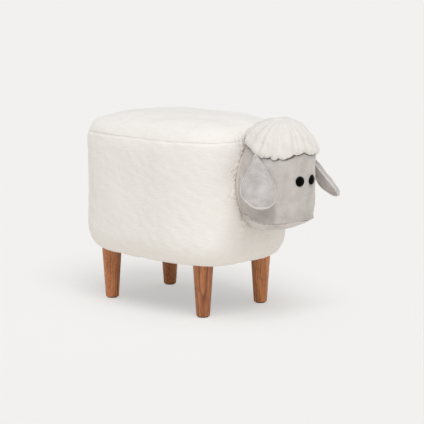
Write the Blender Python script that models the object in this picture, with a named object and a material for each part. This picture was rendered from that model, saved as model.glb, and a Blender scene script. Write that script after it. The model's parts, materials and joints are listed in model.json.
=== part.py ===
"""Animal footstool in the form of a standing sheep: a padded box on four turned legs, with a stuffed head,
a fleece cap and two hinged ears.

Metres, +Z up. The sheep faces -Y, and its own left side is +X. The origin is on the floor, under the middle
of the whole. Places below are measured from the middle of the padded box, and an empty there carries
everything.
"""

import math

import bmesh
import bpy
from mathutils import Matrix, Vector

# Clearance between neighbours, and how far a cutter runs past what it cuts
GAP = 0.0003
OVERRUN = 0.004

# Padded body
BODY_HALF_WIDTH = 0.1521
BODY_HALF_LENGTH = 0.2065
PLAN_POWER = 3.2
UNDERSIDE_HEIGHT = 0.1078
BODY_HEIGHT = 0.2784
CROWN_RISE = 0.0138
CROWN_START_SHARE = 0.974
TOP_ROUND_IN = 0.0356
TOP_ROUND_UP = 0.0531
LOW_ROUND_IN = 0.0284
LOW_ROUND_UP = 0.0531
COVER_THICKNESS = 0.003
HEM_WIDTH = 0.046
SEAM_DROP = 0.029
SEAM_DEPTH = 0.0016
SEAM_ROLL = 0.004
DUST_COVER_THICKNESS = 0.0008
DUST_COVER_MARGIN = 0.034

# Box frame
BASE_THICKNESS = 0.015
WALL_THICKNESS = 0.012
SEAT_BOARD_THICKNESS = 0.012
SEAT_PAD_DEPTH = 0.056
CORNER_FOAM = 0.0103
BOARD_ROUND = 0.0008
CORNER_BLOCK_SIDE = 0.024
CORNER_BLOCK_LENGTH = 0.13

# Screws of the box
SCREW_RADIUS = 0.0017
SCREW_HEAD_RADIUS = 0.0036
SCREW_HEAD_DEPTH = 0.0024
SCREW_LENGTH = 0.034
BASE_SCREW_PLACE_SHARE = 0.4

# Legs and what fastens them
LEG_TOP_RADIUS = 0.0209
LEG_FOOT_RADIUS = 0.0138
LEG_ROUND = 0.002
GLIDE_RADIUS = 0.0105
GLIDE_THICKNESS = 0.002
GLIDE_ROUND = 0.0005
LEG_BOLT_RADIUS = 0.004
LEG_BOLT_DEPTH = 0.038
LEG_BOLT_TIP = 0.006
BOLT_STICK_OUT = 0.003
NUT_BARREL_RADIUS = 0.0056
NUT_BARREL_LENGTH = 0.011
NUT_FLANGE_RADIUS = 0.01
NUT_FLANGE_THICKNESS = 0.0015
NUT_ROOM = 0.0016

# Head
HEAD_HALF_WIDTH = 0.069
HEAD_MIDDLE = 0.056
FACE_DEPTH = 0.0607
HEAD_TOP_RISE = 0.005
HEAD_HEIGHT = 0.1851
CHIN_DEPTH = 0.0262
CHIN_BACK = 0.0153
CROWN_DEPTH = 0.0462
NECK_HALF_WIDTH = 0.0653
NECK_HALF_HEIGHT = 0.0941
NECK_DROP = 0.1142
NECK_LEAST_SHARE = 0.3
FACE_POWER = 2
NECK_POWER = 3
VELVET_THICKNESS = 0.002
CHIN_POWER = 2.3
WELT_THICKNESS = 0.003
WELT_WIDTH = 0.006
WELT_TOP_DROP = 0.048

# Fleece cap
CAP_OVERHANG = 0.0063
CAP_PAD = 0.0146
CAP_HEIGHT = 0.0679
CAP_BACK = 0.0722
CAP_FRONT_POWER = 2.1
CAP_REAR_POWER = 2.1
CAP_DOME_POWER = 1.8
CAP_RISE = 0.037
CAP_RISE_START = 0.0053
CAP_RISE_POWER = 1.3

# Ears, each about its sewn root
EAR_LENGTH = 0.118
EAR_WIDTH = 0.0914
EAR_THICKNESS = 0.0215
EAR_ROOT_BACK = 0.0066
EAR_ROOT_DROP = 0.0034
EAR_ROOT_START_SHARE = 0.09
EAR_TIP_POWER = 0.98
EAR_PAD_POWER = 0.75
EAR_LENS_POWER = 1.3
EAR_SPLAY = math.radians(27.5)
EAR_RAKE = math.radians(29.2)
EAR_TURN = math.radians(61.9)

# Eyes
EYE_RADIUS = 0.0101
EYE_DOME = 0.0045
EYE_RIM = 0.0008
EYE_SPREAD = 0.0174
EYE_DROP = 0.1044
EYE_STEM_RADIUS = 0.0022
EYE_STEM_LENGTH = 0.012
EYE_WASHER_RADIUS = 0.0085
EYE_WASHER_THICKNESS = 0.0012
EYE_WASHER_DEPTH = 0.0033

# What carries the head
BLOCK_HALF_WIDTH = 0.044
BLOCK_HALF_HEIGHT = 0.042
HEAD_BOARD_HALF_WIDTH = 0.045
HEAD_BOARD_HALF_HEIGHT = 0.052
HEAD_BOARD_THICKNESS = 0.009
HEAD_BOARD_POWER = 2.5
HEAD_BOARD_DROP = 0.012
HEAD_BOLT_SPREAD = 0.026
HEAD_BOLT_RADIUS = 0.003
HEAD_BOLT_CAP_RADIUS = 0.008
HEAD_BOLT_CAP_THICKNESS = 0.003
WASHER_RADIUS = 0.008
WASHER_THICKNESS = 0.0015
HEX_NUT_RADIUS = 0.0058
HEX_NUT_THICKNESS = 0.005

# How finely round forms are divided
BODY_SIDES = 40
HEAD_SIDES = 28
LEG_SIDES = 20
EAR_SIDES = 16
SMALL_SIDES = 12
SCREW_SIDES = 8
HEX_SIDES = 6
ROUND_STEPS = 4
CROWN_SHARES = (0.84, 0.6, 0.32)
CHIN_SHARES = (0.86, 0.6, 0.3)
HEAD_SIDE_SHARES = (0.0, 0.13, 0.28, 0.46, 0.65, 0.8, 0.91, 1.0)
HEAD_CROWN_SHARES = (0.35, 0.66, 0.9)
CAP_SHARES = (0.0, 0.22, 0.46, 0.68, 0.85, 0.96)
EAR_STATION_SHARES = (0.22, 0.36, 0.5, 0.63, 0.75, 0.86, 0.94, 0.985)
SMOOTH_ANGLE = math.radians(40)

# Worked out from the sizes above
SHOULDER_HEIGHT = UNDERSIDE_HEIGHT + BODY_HEIGHT
SEAT_HEIGHT = SHOULDER_HEIGHT + CROWN_RISE
SEAM_HEIGHT = SHOULDER_HEIGHT - SEAM_DROP
FOAM_INSET = COVER_THICKNESS + GAP
BASE_LOW = UNDERSIDE_HEIGHT + COVER_THICKNESS + GAP
BASE_TOP = BASE_LOW + BASE_THICKNESS
BASE_SHIFT = LOW_ROUND_IN + GAP
WALL_LOW = BASE_TOP + GAP
SEAT_BOARD_TOP = SHOULDER_HEIGHT - SEAT_PAD_DEPTH
SEAT_BOARD_LOW = SEAT_BOARD_TOP - SEAT_BOARD_THICKNESS
WALL_TOP = SEAT_BOARD_LOW - GAP
CORNER_SHARE = 0.5 ** (1 / PLAN_POWER)
BOX_HALF_WIDTH = (BODY_HALF_WIDTH - FOAM_INSET - CORNER_FOAM) * CORNER_SHARE
BOX_HALF_LENGTH = (BODY_HALF_LENGTH - FOAM_INSET - CORNER_FOAM) * CORNER_SHARE
NUT_INSET = WALL_THICKNESS + NUT_ROOM + NUT_FLANGE_RADIUS
LEG_X = BOX_HALF_WIDTH - NUT_INSET
LEG_Y = BOX_HALF_LENGTH - NUT_INSET
LEG_LOW = GLIDE_THICKNESS + GAP
LEG_TOP = BASE_LOW - GAP
HEAD_Y = -(BODY_HALF_LENGTH + HEAD_MIDDLE)
HEAD_TOP = SHOULDER_HEIGHT + HEAD_TOP_RISE
CHIN_SEAM = HEAD_TOP - HEAD_HEIGHT
CROWN_START = HEAD_TOP - CROWN_DEPTH
NECK_HEIGHT = SHOULDER_HEIGHT - NECK_DROP
CHIN_Y = -(BODY_HALF_LENGTH + CHIN_BACK)
CAP_TOP = HEAD_TOP + CAP_PAD
CAP_EDGE = CAP_TOP - CAP_HEIGHT
CAP_HALF_WIDTH = HEAD_HALF_WIDTH + CAP_OVERHANG
CAP_FRONT_DEPTH = FACE_DEPTH + CAP_OVERHANG
HEAD_REACH = -HEAD_Y + CAP_FRONT_DEPTH
MIDDLE_Y = (HEAD_REACH - BODY_HALF_LENGTH) / 2
HEAD_BOARD_HEIGHT = NECK_HEIGHT - HEAD_BOARD_DROP
CORNERS = {
    "front_left": (1, -1),
    "front_right": (-1, -1),
    "rear_left": (1, 1),
    "rear_right": (-1, 1),
}
SIDES = {"left": 1, "right": -1}


def clear_scene():
    for thing in list(bpy.data.objects):
        bpy.data.objects.remove(thing, do_unlink=True)


def finish(name, colour, roughness, metallic=0):
    """A plain Principled material."""
    material = bpy.data.materials.new(name)
    material.use_nodes = True
    shader = material.node_tree.nodes["Principled BSDF"]
    shader.inputs["Base Color"].default_value = (*colour, 1)
    shader.inputs["Roughness"].default_value = roughness
    shader.inputs["Metallic"].default_value = metallic
    material.diffuse_color = (*colour, 1)
    return material


def place(name, mesh, material, parent, location=(0, 0, 0), rotation=(0, 0, 0)):
    """Put a mesh in the scene as one named piece on its carrier."""
    mesh.materials.append(material)
    piece = bpy.data.objects.new(name, mesh)
    piece.location = location
    piece.rotation_euler = rotation
    piece.parent = parent
    bpy.context.scene.collection.objects.link(piece)
    return piece


def skin(name, rings, closed=False):
    """A closed mesh over rings of points. A ring of one point is a pole, and an open end ring is filled."""
    bm = bmesh.new()
    loops = [[bm.verts.new(point) for point in ring] for ring in rings]
    pairs = list(zip(loops, loops[1:]))
    if closed:
        pairs.append((loops[-1], loops[0]))
    for low, high in pairs:
        count = max(len(low), len(high))
        for step in range(count):
            after = (step + 1) % count
            corners = (
                low[step % len(low)],
                low[after % len(low)],
                high[after % len(high)],
                high[step % len(high)],
            )
            bm.faces.new(dict.fromkeys(corners))
    if not closed:
        for end in (loops[0], loops[-1]):
            if len(end) > 1:
                bm.faces.new(end)
    # Twisted faces split alike, so that two skins a gap apart stay apart
    twisted = [face for face in bm.faces if len(face.verts) == 4]
    bmesh.ops.triangulate(bm, faces=twisted, quad_method="SHORT_EDGE")
    bmesh.ops.recalc_face_normals(bm, faces=bm.faces)
    mesh = bpy.data.meshes.new(name)
    bm.to_mesh(mesh)
    bm.free()
    mesh.shade_smooth()
    mesh.set_sharp_from_angle(angle=SMOOTH_ANGLE)
    return mesh


def turned(name, profile, sides, closed=False):
    """A turned form about Z from (radius, height) pairs. A closed profile leaves a bore."""
    rings = []
    for radius, height in profile:
        if radius == 0:
            rings.append([Vector((0, 0, height))])
            continue
        rim = Vector((radius, 0, height))
        turns = [Matrix.Rotation(math.tau * step / sides, 3, "Z") for step in range(sides)]
        rings.append([turn @ rim for turn in turns])
    return skin(name, rings, closed)


def block(name, low, high):
    """A plain block between two corners."""
    rings = []
    for height in (low[2], high[2]):
        plan = ((low[0], low[1]), (high[0], low[1]), (high[0], high[1]), (low[0], high[1]))
        rings.append([Vector((x, y, height)) for x, y in plan])
    return skin(name, rings)


def soften(piece):
    """Take the sawn sharpness off a board's edges."""
    bevel = piece.modifiers.new("eased edges", "BEVEL")
    bevel.width = BOARD_ROUND
    bevel.segments = 1
    bevel.limit_method = "ANGLE"


def cutter(name, mesh, parent, location=(0, 0, 0), rotation=(0, 0, 0)):
    """A guide that shapes other pieces and isn't a piece itself."""
    tool = bpy.data.objects.new(name, mesh)
    tool.location = location
    tool.rotation_euler = rotation
    tool.parent = parent
    tool.hide_render = True
    tool.display_type = "WIRE"
    bpy.context.scene.collection.objects.link(tool)
    return tool


def shape(piece, tool, operation="DIFFERENCE"):
    """Cut or limit a piece by a guide."""
    cut = piece.modifiers.new(tool.name, "BOOLEAN")
    cut.operation = operation
    cut.solver = "EXACT"
    cut.object = tool


def rod_cutter(name, parent, radius, length, location, rotation=(0, 0, 0)):
    """A round guide from its location along its own Z, for a hole."""
    mesh = turned(name, ((0, 0), (radius, 0), (radius, length), (0, length)), SMALL_SIDES)
    return cutter(name, mesh, parent, location, rotation)


def signed_power(value, power):
    return math.copysign(abs(value) ** power, value)


def plan_ring(half_width, half_length, height, power=PLAN_POWER, sides=BODY_SIDES):
    """A rounded rectangle in plan, whose power sets how square its corners are."""
    ring = []
    for step in range(sides):
        angle = math.tau * step / sides
        x = half_width * signed_power(math.cos(angle), 2 / power)
        y = half_length * signed_power(math.sin(angle), 2 / power)
        ring.append(Vector((x, y, height)))
    return ring


def body_ring(shift, height):
    """The body's plan, drawn in by shift."""
    return plan_ring(BODY_HALF_WIDTH - shift, BODY_HALF_LENGTH - shift, height)


def low_arc(inset):
    """(shift, height) pairs round the body's lower edge, from the underside to the side."""
    pairs = []
    for step in range(ROUND_STEPS + 1):
        angle = math.pi / 2 * step / ROUND_STEPS
        shift = LOW_ROUND_IN - (LOW_ROUND_IN - inset) * math.sin(angle)
        height = UNDERSIDE_HEIGHT + LOW_ROUND_UP - (LOW_ROUND_UP - inset) * math.cos(angle)
        pairs.append((shift, height))
    return pairs


def top_arc(inset, low, high):
    """(shift, height) pairs round the body's upper edge, between two heights."""
    centre = SHOULDER_HEIGHT - TOP_ROUND_UP
    reach = TOP_ROUND_UP - inset
    start = math.asin(min(1, max(0, low - centre) / reach))
    end = math.asin(min(1, max(0, high - centre) / reach))
    pairs = []
    for step in range(ROUND_STEPS + 1):
        angle = start + (end - start) * step / ROUND_STEPS
        shift = TOP_ROUND_IN - (TOP_ROUND_IN - inset) * math.cos(angle)
        pairs.append((shift, centre + reach * math.sin(angle)))
    return pairs


def crown_edge(inset):
    """(shift, height) where the rounded edge runs over into the crown, at the crown's own slope."""
    rise = (TOP_ROUND_UP - inset) * CROWN_START_SHARE
    return top_arc(inset, 0, SHOULDER_HEIGHT - TOP_ROUND_UP + rise)[-1]


def seam_shift(height, inset=0):
    """How far in the skin is drawn at the seam: its back half as much as its face."""
    drawn = SEAM_DEPTH / 2 if inset else SEAM_DEPTH
    return top_arc(0, 0, height)[-1][0] + drawn + inset


def upper_side(inset):
    """(shift, height) pairs up the body's rounded upper side, at the same heights as the covers' own."""
    pairs = top_arc(inset, 0, SEAM_HEIGHT - SEAM_ROLL)
    pairs.append((seam_shift(SEAM_HEIGHT, inset), SEAM_HEIGHT))
    return pairs + top_arc(inset, SEAM_HEIGHT + GAP + SEAM_ROLL, crown_edge(inset)[1])


def crown_rings(inset):
    """Rings over the seat, from the crown's edge inwards, then the pole."""
    shift, edge = crown_edge(inset)
    top = SEAT_HEIGHT - inset
    rings = []
    for share in CROWN_SHARES:
        width = (BODY_HALF_WIDTH - shift) * share
        length = (BODY_HALF_LENGTH - shift) * share
        rings.append(plan_ring(width, length, edge + (top - edge) * (1 - share**2)))
    rings.append([Vector((0, 0, top))])
    return rings


def body_form(name, inset, top=None):
    """The whole body as one closed form, drawn in by inset, or cut off level at the top."""
    side = low_arc(inset)
    if top is not None:
        return skin(name, [body_ring(*pair) for pair in [*side, (inset, top)]])
    side += upper_side(inset)
    return skin(name, [body_ring(*pair) for pair in side] + crown_rings(inset))


def body_front(across, inset=0):
    """How far the body's front reaches before its middle, at a place across it."""
    width = BODY_HALF_WIDTH - inset
    length = BODY_HALF_LENGTH - inset
    return length * (1 - (abs(across) / width) ** PLAN_POWER) ** (1 / PLAN_POWER)


def side_cover_mesh():
    """The plush band: hem under the box, lower round, side and the roll at the seam, then its inner face."""
    rolled = SEAM_HEIGHT - SEAM_ROLL
    outer = [(HEM_WIDTH, UNDERSIDE_HEIGHT)] + low_arc(0) + top_arc(0, 0, rolled)
    outer.append((seam_shift(SEAM_HEIGHT), SEAM_HEIGHT))
    inner = low_arc(COVER_THICKNESS) + top_arc(COVER_THICKNESS, 0, rolled)
    inner.append((seam_shift(SEAM_HEIGHT, COVER_THICKNESS), SEAM_HEIGHT))
    inner.insert(0, (HEM_WIDTH, UNDERSIDE_HEIGHT + COVER_THICKNESS))
    return skin("side_cover", [body_ring(*pair) for pair in outer + inner[::-1]], closed=True)


def top_cover_mesh():
    """The plush top: its inner face from the middle out to the seam, then its outer face back."""
    edge = SEAM_HEIGHT + GAP
    rolled = edge + SEAM_ROLL
    inner = top_arc(COVER_THICKNESS, rolled, crown_edge(COVER_THICKNESS)[1])
    inner.insert(0, (seam_shift(edge, COVER_THICKNESS), edge))
    outer = [(seam_shift(edge), edge)] + top_arc(0, rolled, crown_edge(0)[1])
    rings = crown_rings(COVER_THICKNESS)[::-1]
    rings += [body_ring(*pair) for pair in inner[::-1] + outer]
    return skin("top_cover", rings + crown_rings(0))


def seat_foam_mesh():
    """The crowned seat pad on the seat board."""
    side = [(FOAM_INSET, SEAT_BOARD_TOP + GAP)] + upper_side(FOAM_INSET)
    return skin("seat_foam", [body_ring(*pair) for pair in side] + crown_rings(FOAM_INSET))


def side_foam_mesh():
    """The foam round the box, still solid: the box is cut out of it."""
    side = low_arc(FOAM_INSET) + [(FOAM_INSET, SEAT_BOARD_TOP)]
    return skin("side_foam", [body_ring(*pair) for pair in side])


def make_covers(parent, plush, lining, foam):
    """Foam and covers of the body, and the dust cover under it."""
    place("top_cover", top_cover_mesh(), plush, parent)
    side = place("side_cover", side_cover_mesh(), plush, parent)
    place("seat_foam", seat_foam_mesh(), foam, parent)
    wrap = place("side_foam", side_foam_mesh(), foam, parent)
    reach = (BOX_HALF_WIDTH + GAP, BOX_HALF_LENGTH + GAP)
    room = block(
        "box room", (-reach[0], -reach[1], BASE_TOP), (*reach, SEAT_BOARD_TOP + OVERRUN)
    )
    shape(wrap, cutter("box room", room, parent))
    heights = (UNDERSIDE_HEIGHT - OVERRUN, BASE_TOP + GAP)
    room = skin("base room", [body_ring(BASE_SHIFT - GAP, height) for height in heights])
    shape(wrap, cutter("base room", room, parent))
    low = UNDERSIDE_HEIGHT - GAP - DUST_COVER_THICKNESS
    sheet = [body_ring(DUST_COVER_MARGIN, height) for height in (low, UNDERSIDE_HEIGHT - GAP)]
    dust = place("dust_cover", skin("dust_cover", sheet), lining, parent)
    return side, wrap, dust


def make_box(parent, ply, pine):
    """The six boards and four corner blocks."""
    wide, long = BOX_HALF_WIDTH, BOX_HALF_LENGTH
    inner_long = long - WALL_THICKNESS
    slabs = {
        "seat_board": ((-wide, -long, SEAT_BOARD_LOW), (wide, long, SEAT_BOARD_TOP)),
        "front_board": ((-wide, -long, WALL_LOW), (wide, -inner_long, WALL_TOP)),
        "rear_board": ((-wide, inner_long, WALL_LOW), (wide, long, WALL_TOP)),
    }
    for side, sign in SIDES.items():
        ends = sorted((sign * wide, sign * (wide - WALL_THICKNESS)))
        run = inner_long - GAP
        slabs[side + "_board"] = ((ends[0], -run, WALL_LOW), (ends[1], run, WALL_TOP))
    plan = [body_ring(BASE_SHIFT, height) for height in (BASE_LOW, BASE_TOP)]
    boards = {"base_board": place("base_board", skin("base_board", plan), ply, parent)}
    for name, (low, high) in slabs.items():
        boards[name] = place(name, block(name, low, high), ply, parent)
        soften(boards[name])
    for corner, (across, along) in CORNERS.items():
        name = "corner_block_" + corner
        xs = sorted(across * (block_place(wide) + half) for half in block_halves())
        ys = sorted(along * (block_place(long) + half) for half in block_halves())
        low = (xs[0], ys[0], WALL_TOP - CORNER_BLOCK_LENGTH)
        boards[name] = place(name, block(name, low, (xs[1], ys[1], WALL_TOP)), pine, parent)
        soften(boards[name])
    return boards


def block_halves():
    return (-CORNER_BLOCK_SIDE / 2, CORNER_BLOCK_SIDE / 2)


def block_place(box_half):
    """How far a corner block's middle is from the middle of the box."""
    return box_half - WALL_THICKNESS - GAP - CORNER_BLOCK_SIDE / 2


def screw_mesh():
    """A countersunk screw with its flat head at the origin, pointing down."""
    profile = (
        (0, 0),
        (SCREW_HEAD_RADIUS, 0),
        (SCREW_RADIUS, -SCREW_HEAD_DEPTH),
        (SCREW_RADIUS, -SCREW_LENGTH + SCREW_HEAD_RADIUS),
        (0, -SCREW_LENGTH),
    )
    return turned("screw", profile, SCREW_SIDES)


def screw_room_mesh():
    """What a screw takes out of the wood."""
    profile = (
        (0, OVERRUN),
        (SCREW_HEAD_RADIUS + GAP, OVERRUN),
        (SCREW_HEAD_RADIUS + GAP, -GAP),
        (SCREW_RADIUS + GAP, -SCREW_HEAD_DEPTH - GAP),
        (SCREW_RADIUS + GAP, -SCREW_LENGTH - GAP),
        (0, -SCREW_LENGTH - GAP),
    )
    return turned("screw room", profile, SCREW_SIDES)


def make_screws(parent, boards, steel):
    """Four screws down through the seat board, and four up through the base board."""
    for corner, (across, along) in CORNERS.items():
        seat_place = (
            across * block_place(BOX_HALF_WIDTH),
            along * block_place(BOX_HALF_LENGTH),
            SEAT_BOARD_TOP,
        )
        side = "left" if across > 0 else "right"
        base_place = (
            across * (BOX_HALF_WIDTH - WALL_THICKNESS / 2),
            along * BOX_HALF_LENGTH * BASE_SCREW_PLACE_SHARE,
            BASE_LOW,
        )
        jobs = (
            ("seat_screw_", seat_place, 0, ("seat_board", "corner_block_" + corner)),
            ("base_screw_", base_place, math.pi, ("base_board", side + "_board")),
        )
        for kind, spot, turn, drilled in jobs:
            place(kind + corner, screw_mesh(), steel, parent, spot, (turn, 0, 0))
            room = cutter(kind + corner + " room", screw_room_mesh(), parent, spot, (turn, 0, 0))
            for name in drilled:
                shape(boards[name], room)


def leg_mesh():
    """A turned, tapered leg with a blind bore in its top."""
    bore = LEG_BOLT_RADIUS + GAP
    profile = (
        (0, LEG_LOW),
        (LEG_FOOT_RADIUS - LEG_ROUND, LEG_LOW),
        (LEG_FOOT_RADIUS, LEG_LOW + LEG_ROUND),
        (LEG_TOP_RADIUS, LEG_TOP),
        (bore, LEG_TOP),
        (bore, LEG_TOP - LEG_BOLT_DEPTH - GAP),
        (0, LEG_TOP - LEG_BOLT_DEPTH - GAP),
    )
    return turned("leg", profile, LEG_SIDES)


def leg_bolt_mesh():
    """A hanger bolt: its wood thread in the leg, its machine thread in the tee nut."""
    low = LEG_TOP - LEG_BOLT_DEPTH
    high = BASE_TOP + GAP + NUT_FLANGE_THICKNESS + BOLT_STICK_OUT
    profile = (
        (0, low),
        (LEG_BOLT_RADIUS / 2, low),
        (LEG_BOLT_RADIUS, low + LEG_BOLT_TIP),
        (LEG_BOLT_RADIUS, high),
        (0, high),
    )
    return turned("leg_bolt", profile, SMALL_SIDES)


def tee_nut_mesh():
    """A tee nut let into the base board from inside the box."""
    seat = BASE_TOP + GAP
    bore = LEG_BOLT_RADIUS + GAP
    profile = (
        (bore, seat - NUT_BARREL_LENGTH),
        (NUT_BARREL_RADIUS, seat - NUT_BARREL_LENGTH),
        (NUT_BARREL_RADIUS, seat),
        (NUT_FLANGE_RADIUS, seat),
        (NUT_FLANGE_RADIUS, seat + NUT_FLANGE_THICKNESS),
        (bore, seat + NUT_FLANGE_THICKNESS),
    )
    return turned("tee_nut", profile, SMALL_SIDES, closed=True)


def glide_mesh():
    profile = (
        (0, 0),
        (GLIDE_RADIUS - GLIDE_ROUND, 0),
        (GLIDE_RADIUS, GLIDE_ROUND),
        (GLIDE_RADIUS, GLIDE_THICKNESS),
        (0, GLIDE_THICKNESS),
    )
    return turned("foot_glide", profile, SMALL_SIDES)


def make_legs(parent, base_board, covers, wood, steel, felt):
    """Four legs with their bolts, tee nuts and glides, and the room that they need."""
    for corner, (across, along) in CORNERS.items():
        spot = (across * LEG_X, along * LEG_Y, 0)
        place("leg_" + corner, leg_mesh(), wood, parent, spot)
        place("leg_bolt_" + corner, leg_bolt_mesh(), steel, parent, spot)
        place("tee_nut_" + corner, tee_nut_mesh(), steel, parent, spot)
        place("foot_glide_" + corner, glide_mesh(), felt, parent, spot)
        hole = (spot[0], spot[1], BASE_LOW - OVERRUN)
        through = BASE_THICKNESS + 2 * OVERRUN
        name = "nut hole " + corner
        shape(base_board, rod_cutter(name, parent, NUT_BARREL_RADIUS + GAP, through, hole))
        radius = LEG_TOP_RADIUS + 2 * GAP
        low = UNDERSIDE_HEIGHT - OVERRUN
        profile = ((0, low), (radius, low), (radius, BASE_LOW), (0, BASE_LOW))
        name = "leg notch " + corner
        notch = cutter(name, turned(name, profile, LEG_SIDES), parent, spot)
        for cover in covers:
            shape(cover, notch)


def head_scale(height, inset):
    """The head's share of its full plan at a height: less than one only in its crown."""
    rise = (height - CROWN_START) / (CROWN_DEPTH - inset)
    return math.sqrt(max(0, 1 - max(0, rise) ** 2))


def neck_reach(height):
    """How far back the head's plan reaches, so that it meets the body in the neck's oval."""
    lift = min(1, abs(height - NECK_HEIGHT) / NECK_HALF_HEIGHT)
    meeting = NECK_HALF_WIDTH * max(NECK_LEAST_SHARE, math.sqrt(1 - lift**2))
    narrowing = 1 - (meeting / HEAD_HALF_WIDTH) ** NECK_POWER
    return HEAD_MIDDLE / narrowing ** (1 / NECK_POWER)


def head_point(angle, height, inset):
    """A point of the head's skin. Angle 0 is its left side, and the face is at three quarter turns."""
    across, along = math.cos(angle), math.sin(angle)
    rear = along > 0
    power = NECK_POWER if rear else FACE_POWER
    reach = neck_reach(height) - inset if rear else FACE_DEPTH - inset
    scale = head_scale(height, inset)
    x = (HEAD_HALF_WIDTH - inset) * signed_power(across, 2 / power)
    y = reach * signed_power(along, 2 / power)
    return Vector((x * scale, HEAD_Y + y * scale, height))


def head_angles():
    return [math.tau * step / HEAD_SIDES for step in range(HEAD_SIDES)]


def head_ring(height, inset):
    return [head_point(angle, height, inset) for angle in head_angles()]


def skull_rings(inset):
    """The head above the chin seam: straight sides, then the rounded crown and its pole."""
    side = CROWN_START - CHIN_SEAM
    crown = CROWN_DEPTH - inset
    heights = [CHIN_SEAM + side * share for share in HEAD_SIDE_SHARES]
    heights += [CROWN_START + crown * share for share in HEAD_CROWN_SHARES]
    pole = Vector((0, HEAD_Y, CROWN_START + crown))
    return [head_ring(height, inset) for height in heights] + [[pole]]


def chin_rings(inset):
    """The chin's belly from its pole up to the seam: the seam's ring, shrunk towards the pole."""
    pole = Vector((0, CHIN_Y, CHIN_SEAM - CHIN_DEPTH + inset))
    rings = [[pole]]
    seam = head_ring(CHIN_SEAM, inset)
    for share in CHIN_SHARES[::-1]:
        height = CHIN_SEAM - (CHIN_DEPTH - inset) * (1 - share**CHIN_POWER)
        ring = []
        for point in seam:
            flat = pole + (point - pole) * share
            ring.append(Vector((flat.x, flat.y, height)))
        rings.append(ring)
    return rings


def lowered(rings, drop):
    return [[point - Vector((0, 0, drop)) for point in ring] for ring in rings]


def cap_edge_height(y):
    """The cap's lower edge: level round the face, rising to the body behind the ears."""
    back = (y - HEAD_Y + CAP_RISE_START) / (CAP_BACK + CAP_RISE_START)
    return CAP_EDGE + CAP_RISE * max(0, back) ** CAP_RISE_POWER


def cap_point(angle, share):
    """A point of the cap's outside, at a share of the way from its edge to its top."""
    across, along = math.cos(angle), math.sin(angle)
    power = CAP_REAR_POWER if along > 0 else CAP_FRONT_POWER
    reach = CAP_BACK if along > 0 else CAP_FRONT_DEPTH
    scale = (1 - share**CAP_DOME_POWER) ** (1 / CAP_DOME_POWER)
    x = CAP_HALF_WIDTH * signed_power(across, 2 / power)
    y = HEAD_Y + reach * signed_power(along, 2 / power)
    edge = cap_edge_height(y)
    height = edge + (CAP_TOP - edge) * share
    return Vector((x * scale, HEAD_Y + (y - HEAD_Y) * scale, height))


def cap_mesh():
    """The cap's dome, still solid: the head is cut out of it."""
    rings = [[cap_point(angle, share) for angle in head_angles()] for share in CAP_SHARES]
    poles = [[Vector((0, HEAD_Y, height))] for height in (CAP_EDGE, CAP_TOP)]
    return skin("wool_cap", [poles[0], *rings, poles[1]])


def eye_frame(sign):
    """Where an eye sits on the face, and how far it turns outwards."""
    share = EYE_SPREAD / HEAD_HALF_WIDTH
    depth = math.sqrt(1 - share**2)
    spot = Vector((sign * EYE_SPREAD, HEAD_Y - FACE_DEPTH * depth, HEAD_TOP - EYE_DROP))
    turn = sign * math.atan2(share / HEAD_HALF_WIDTH, depth / FACE_DEPTH)
    out = Matrix.Rotation(turn, 3, "Z") @ Vector((0, -1, 0))
    return spot, out, (math.pi / 2, 0, turn)


def eye_mesh():
    """A domed eye with its stem, looking along its own Z."""
    base = GAP
    rim = base + EYE_RIM
    profile = [
        (0, -EYE_STEM_LENGTH),
        (EYE_STEM_RADIUS, -EYE_STEM_LENGTH),
        (EYE_STEM_RADIUS, base),
        (EYE_RADIUS, base),
    ]
    for step in range(ROUND_STEPS):
        angle = math.pi / 2 * step / ROUND_STEPS
        profile.append((EYE_RADIUS * math.cos(angle), rim + EYE_DOME * math.sin(angle)))
    return turned("eye", [*profile, (0, rim + EYE_DOME)], LEG_SIDES)


def eye_washer_mesh():
    bore = EYE_STEM_RADIUS + GAP
    low, high = -EYE_WASHER_DEPTH - EYE_WASHER_THICKNESS, -EYE_WASHER_DEPTH
    profile = ((bore, low), (EYE_WASHER_RADIUS, low), (EYE_WASHER_RADIUS, high), (bore, high))
    return turned("eye_washer", profile, LEG_SIDES, closed=True)


def make_eyes(parent, head_cover, head_core, gloss, nylon):
    """Two eyes on stems through the velvet, each held by a washer behind it."""
    for side, sign in SIDES.items():
        spot, out, turn = eye_frame(sign)
        place("eye_" + side, eye_mesh(), gloss, parent, spot, turn)
        place("eye_washer_" + side, eye_washer_mesh(), nylon, parent, spot, turn)
        deep = EYE_STEM_LENGTH + OVERRUN
        start = spot - out * (EYE_STEM_LENGTH + GAP)
        hole = "eye hole " + side
        shape(head_cover, rod_cutter(hole, parent, EYE_STEM_RADIUS + GAP, deep, start, turn))
        pocket = "eye pocket " + side
        wide = EYE_WASHER_RADIUS + 2 * GAP
        shape(head_core, rod_cutter(pocket, parent, wide, deep, start, turn))


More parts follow.
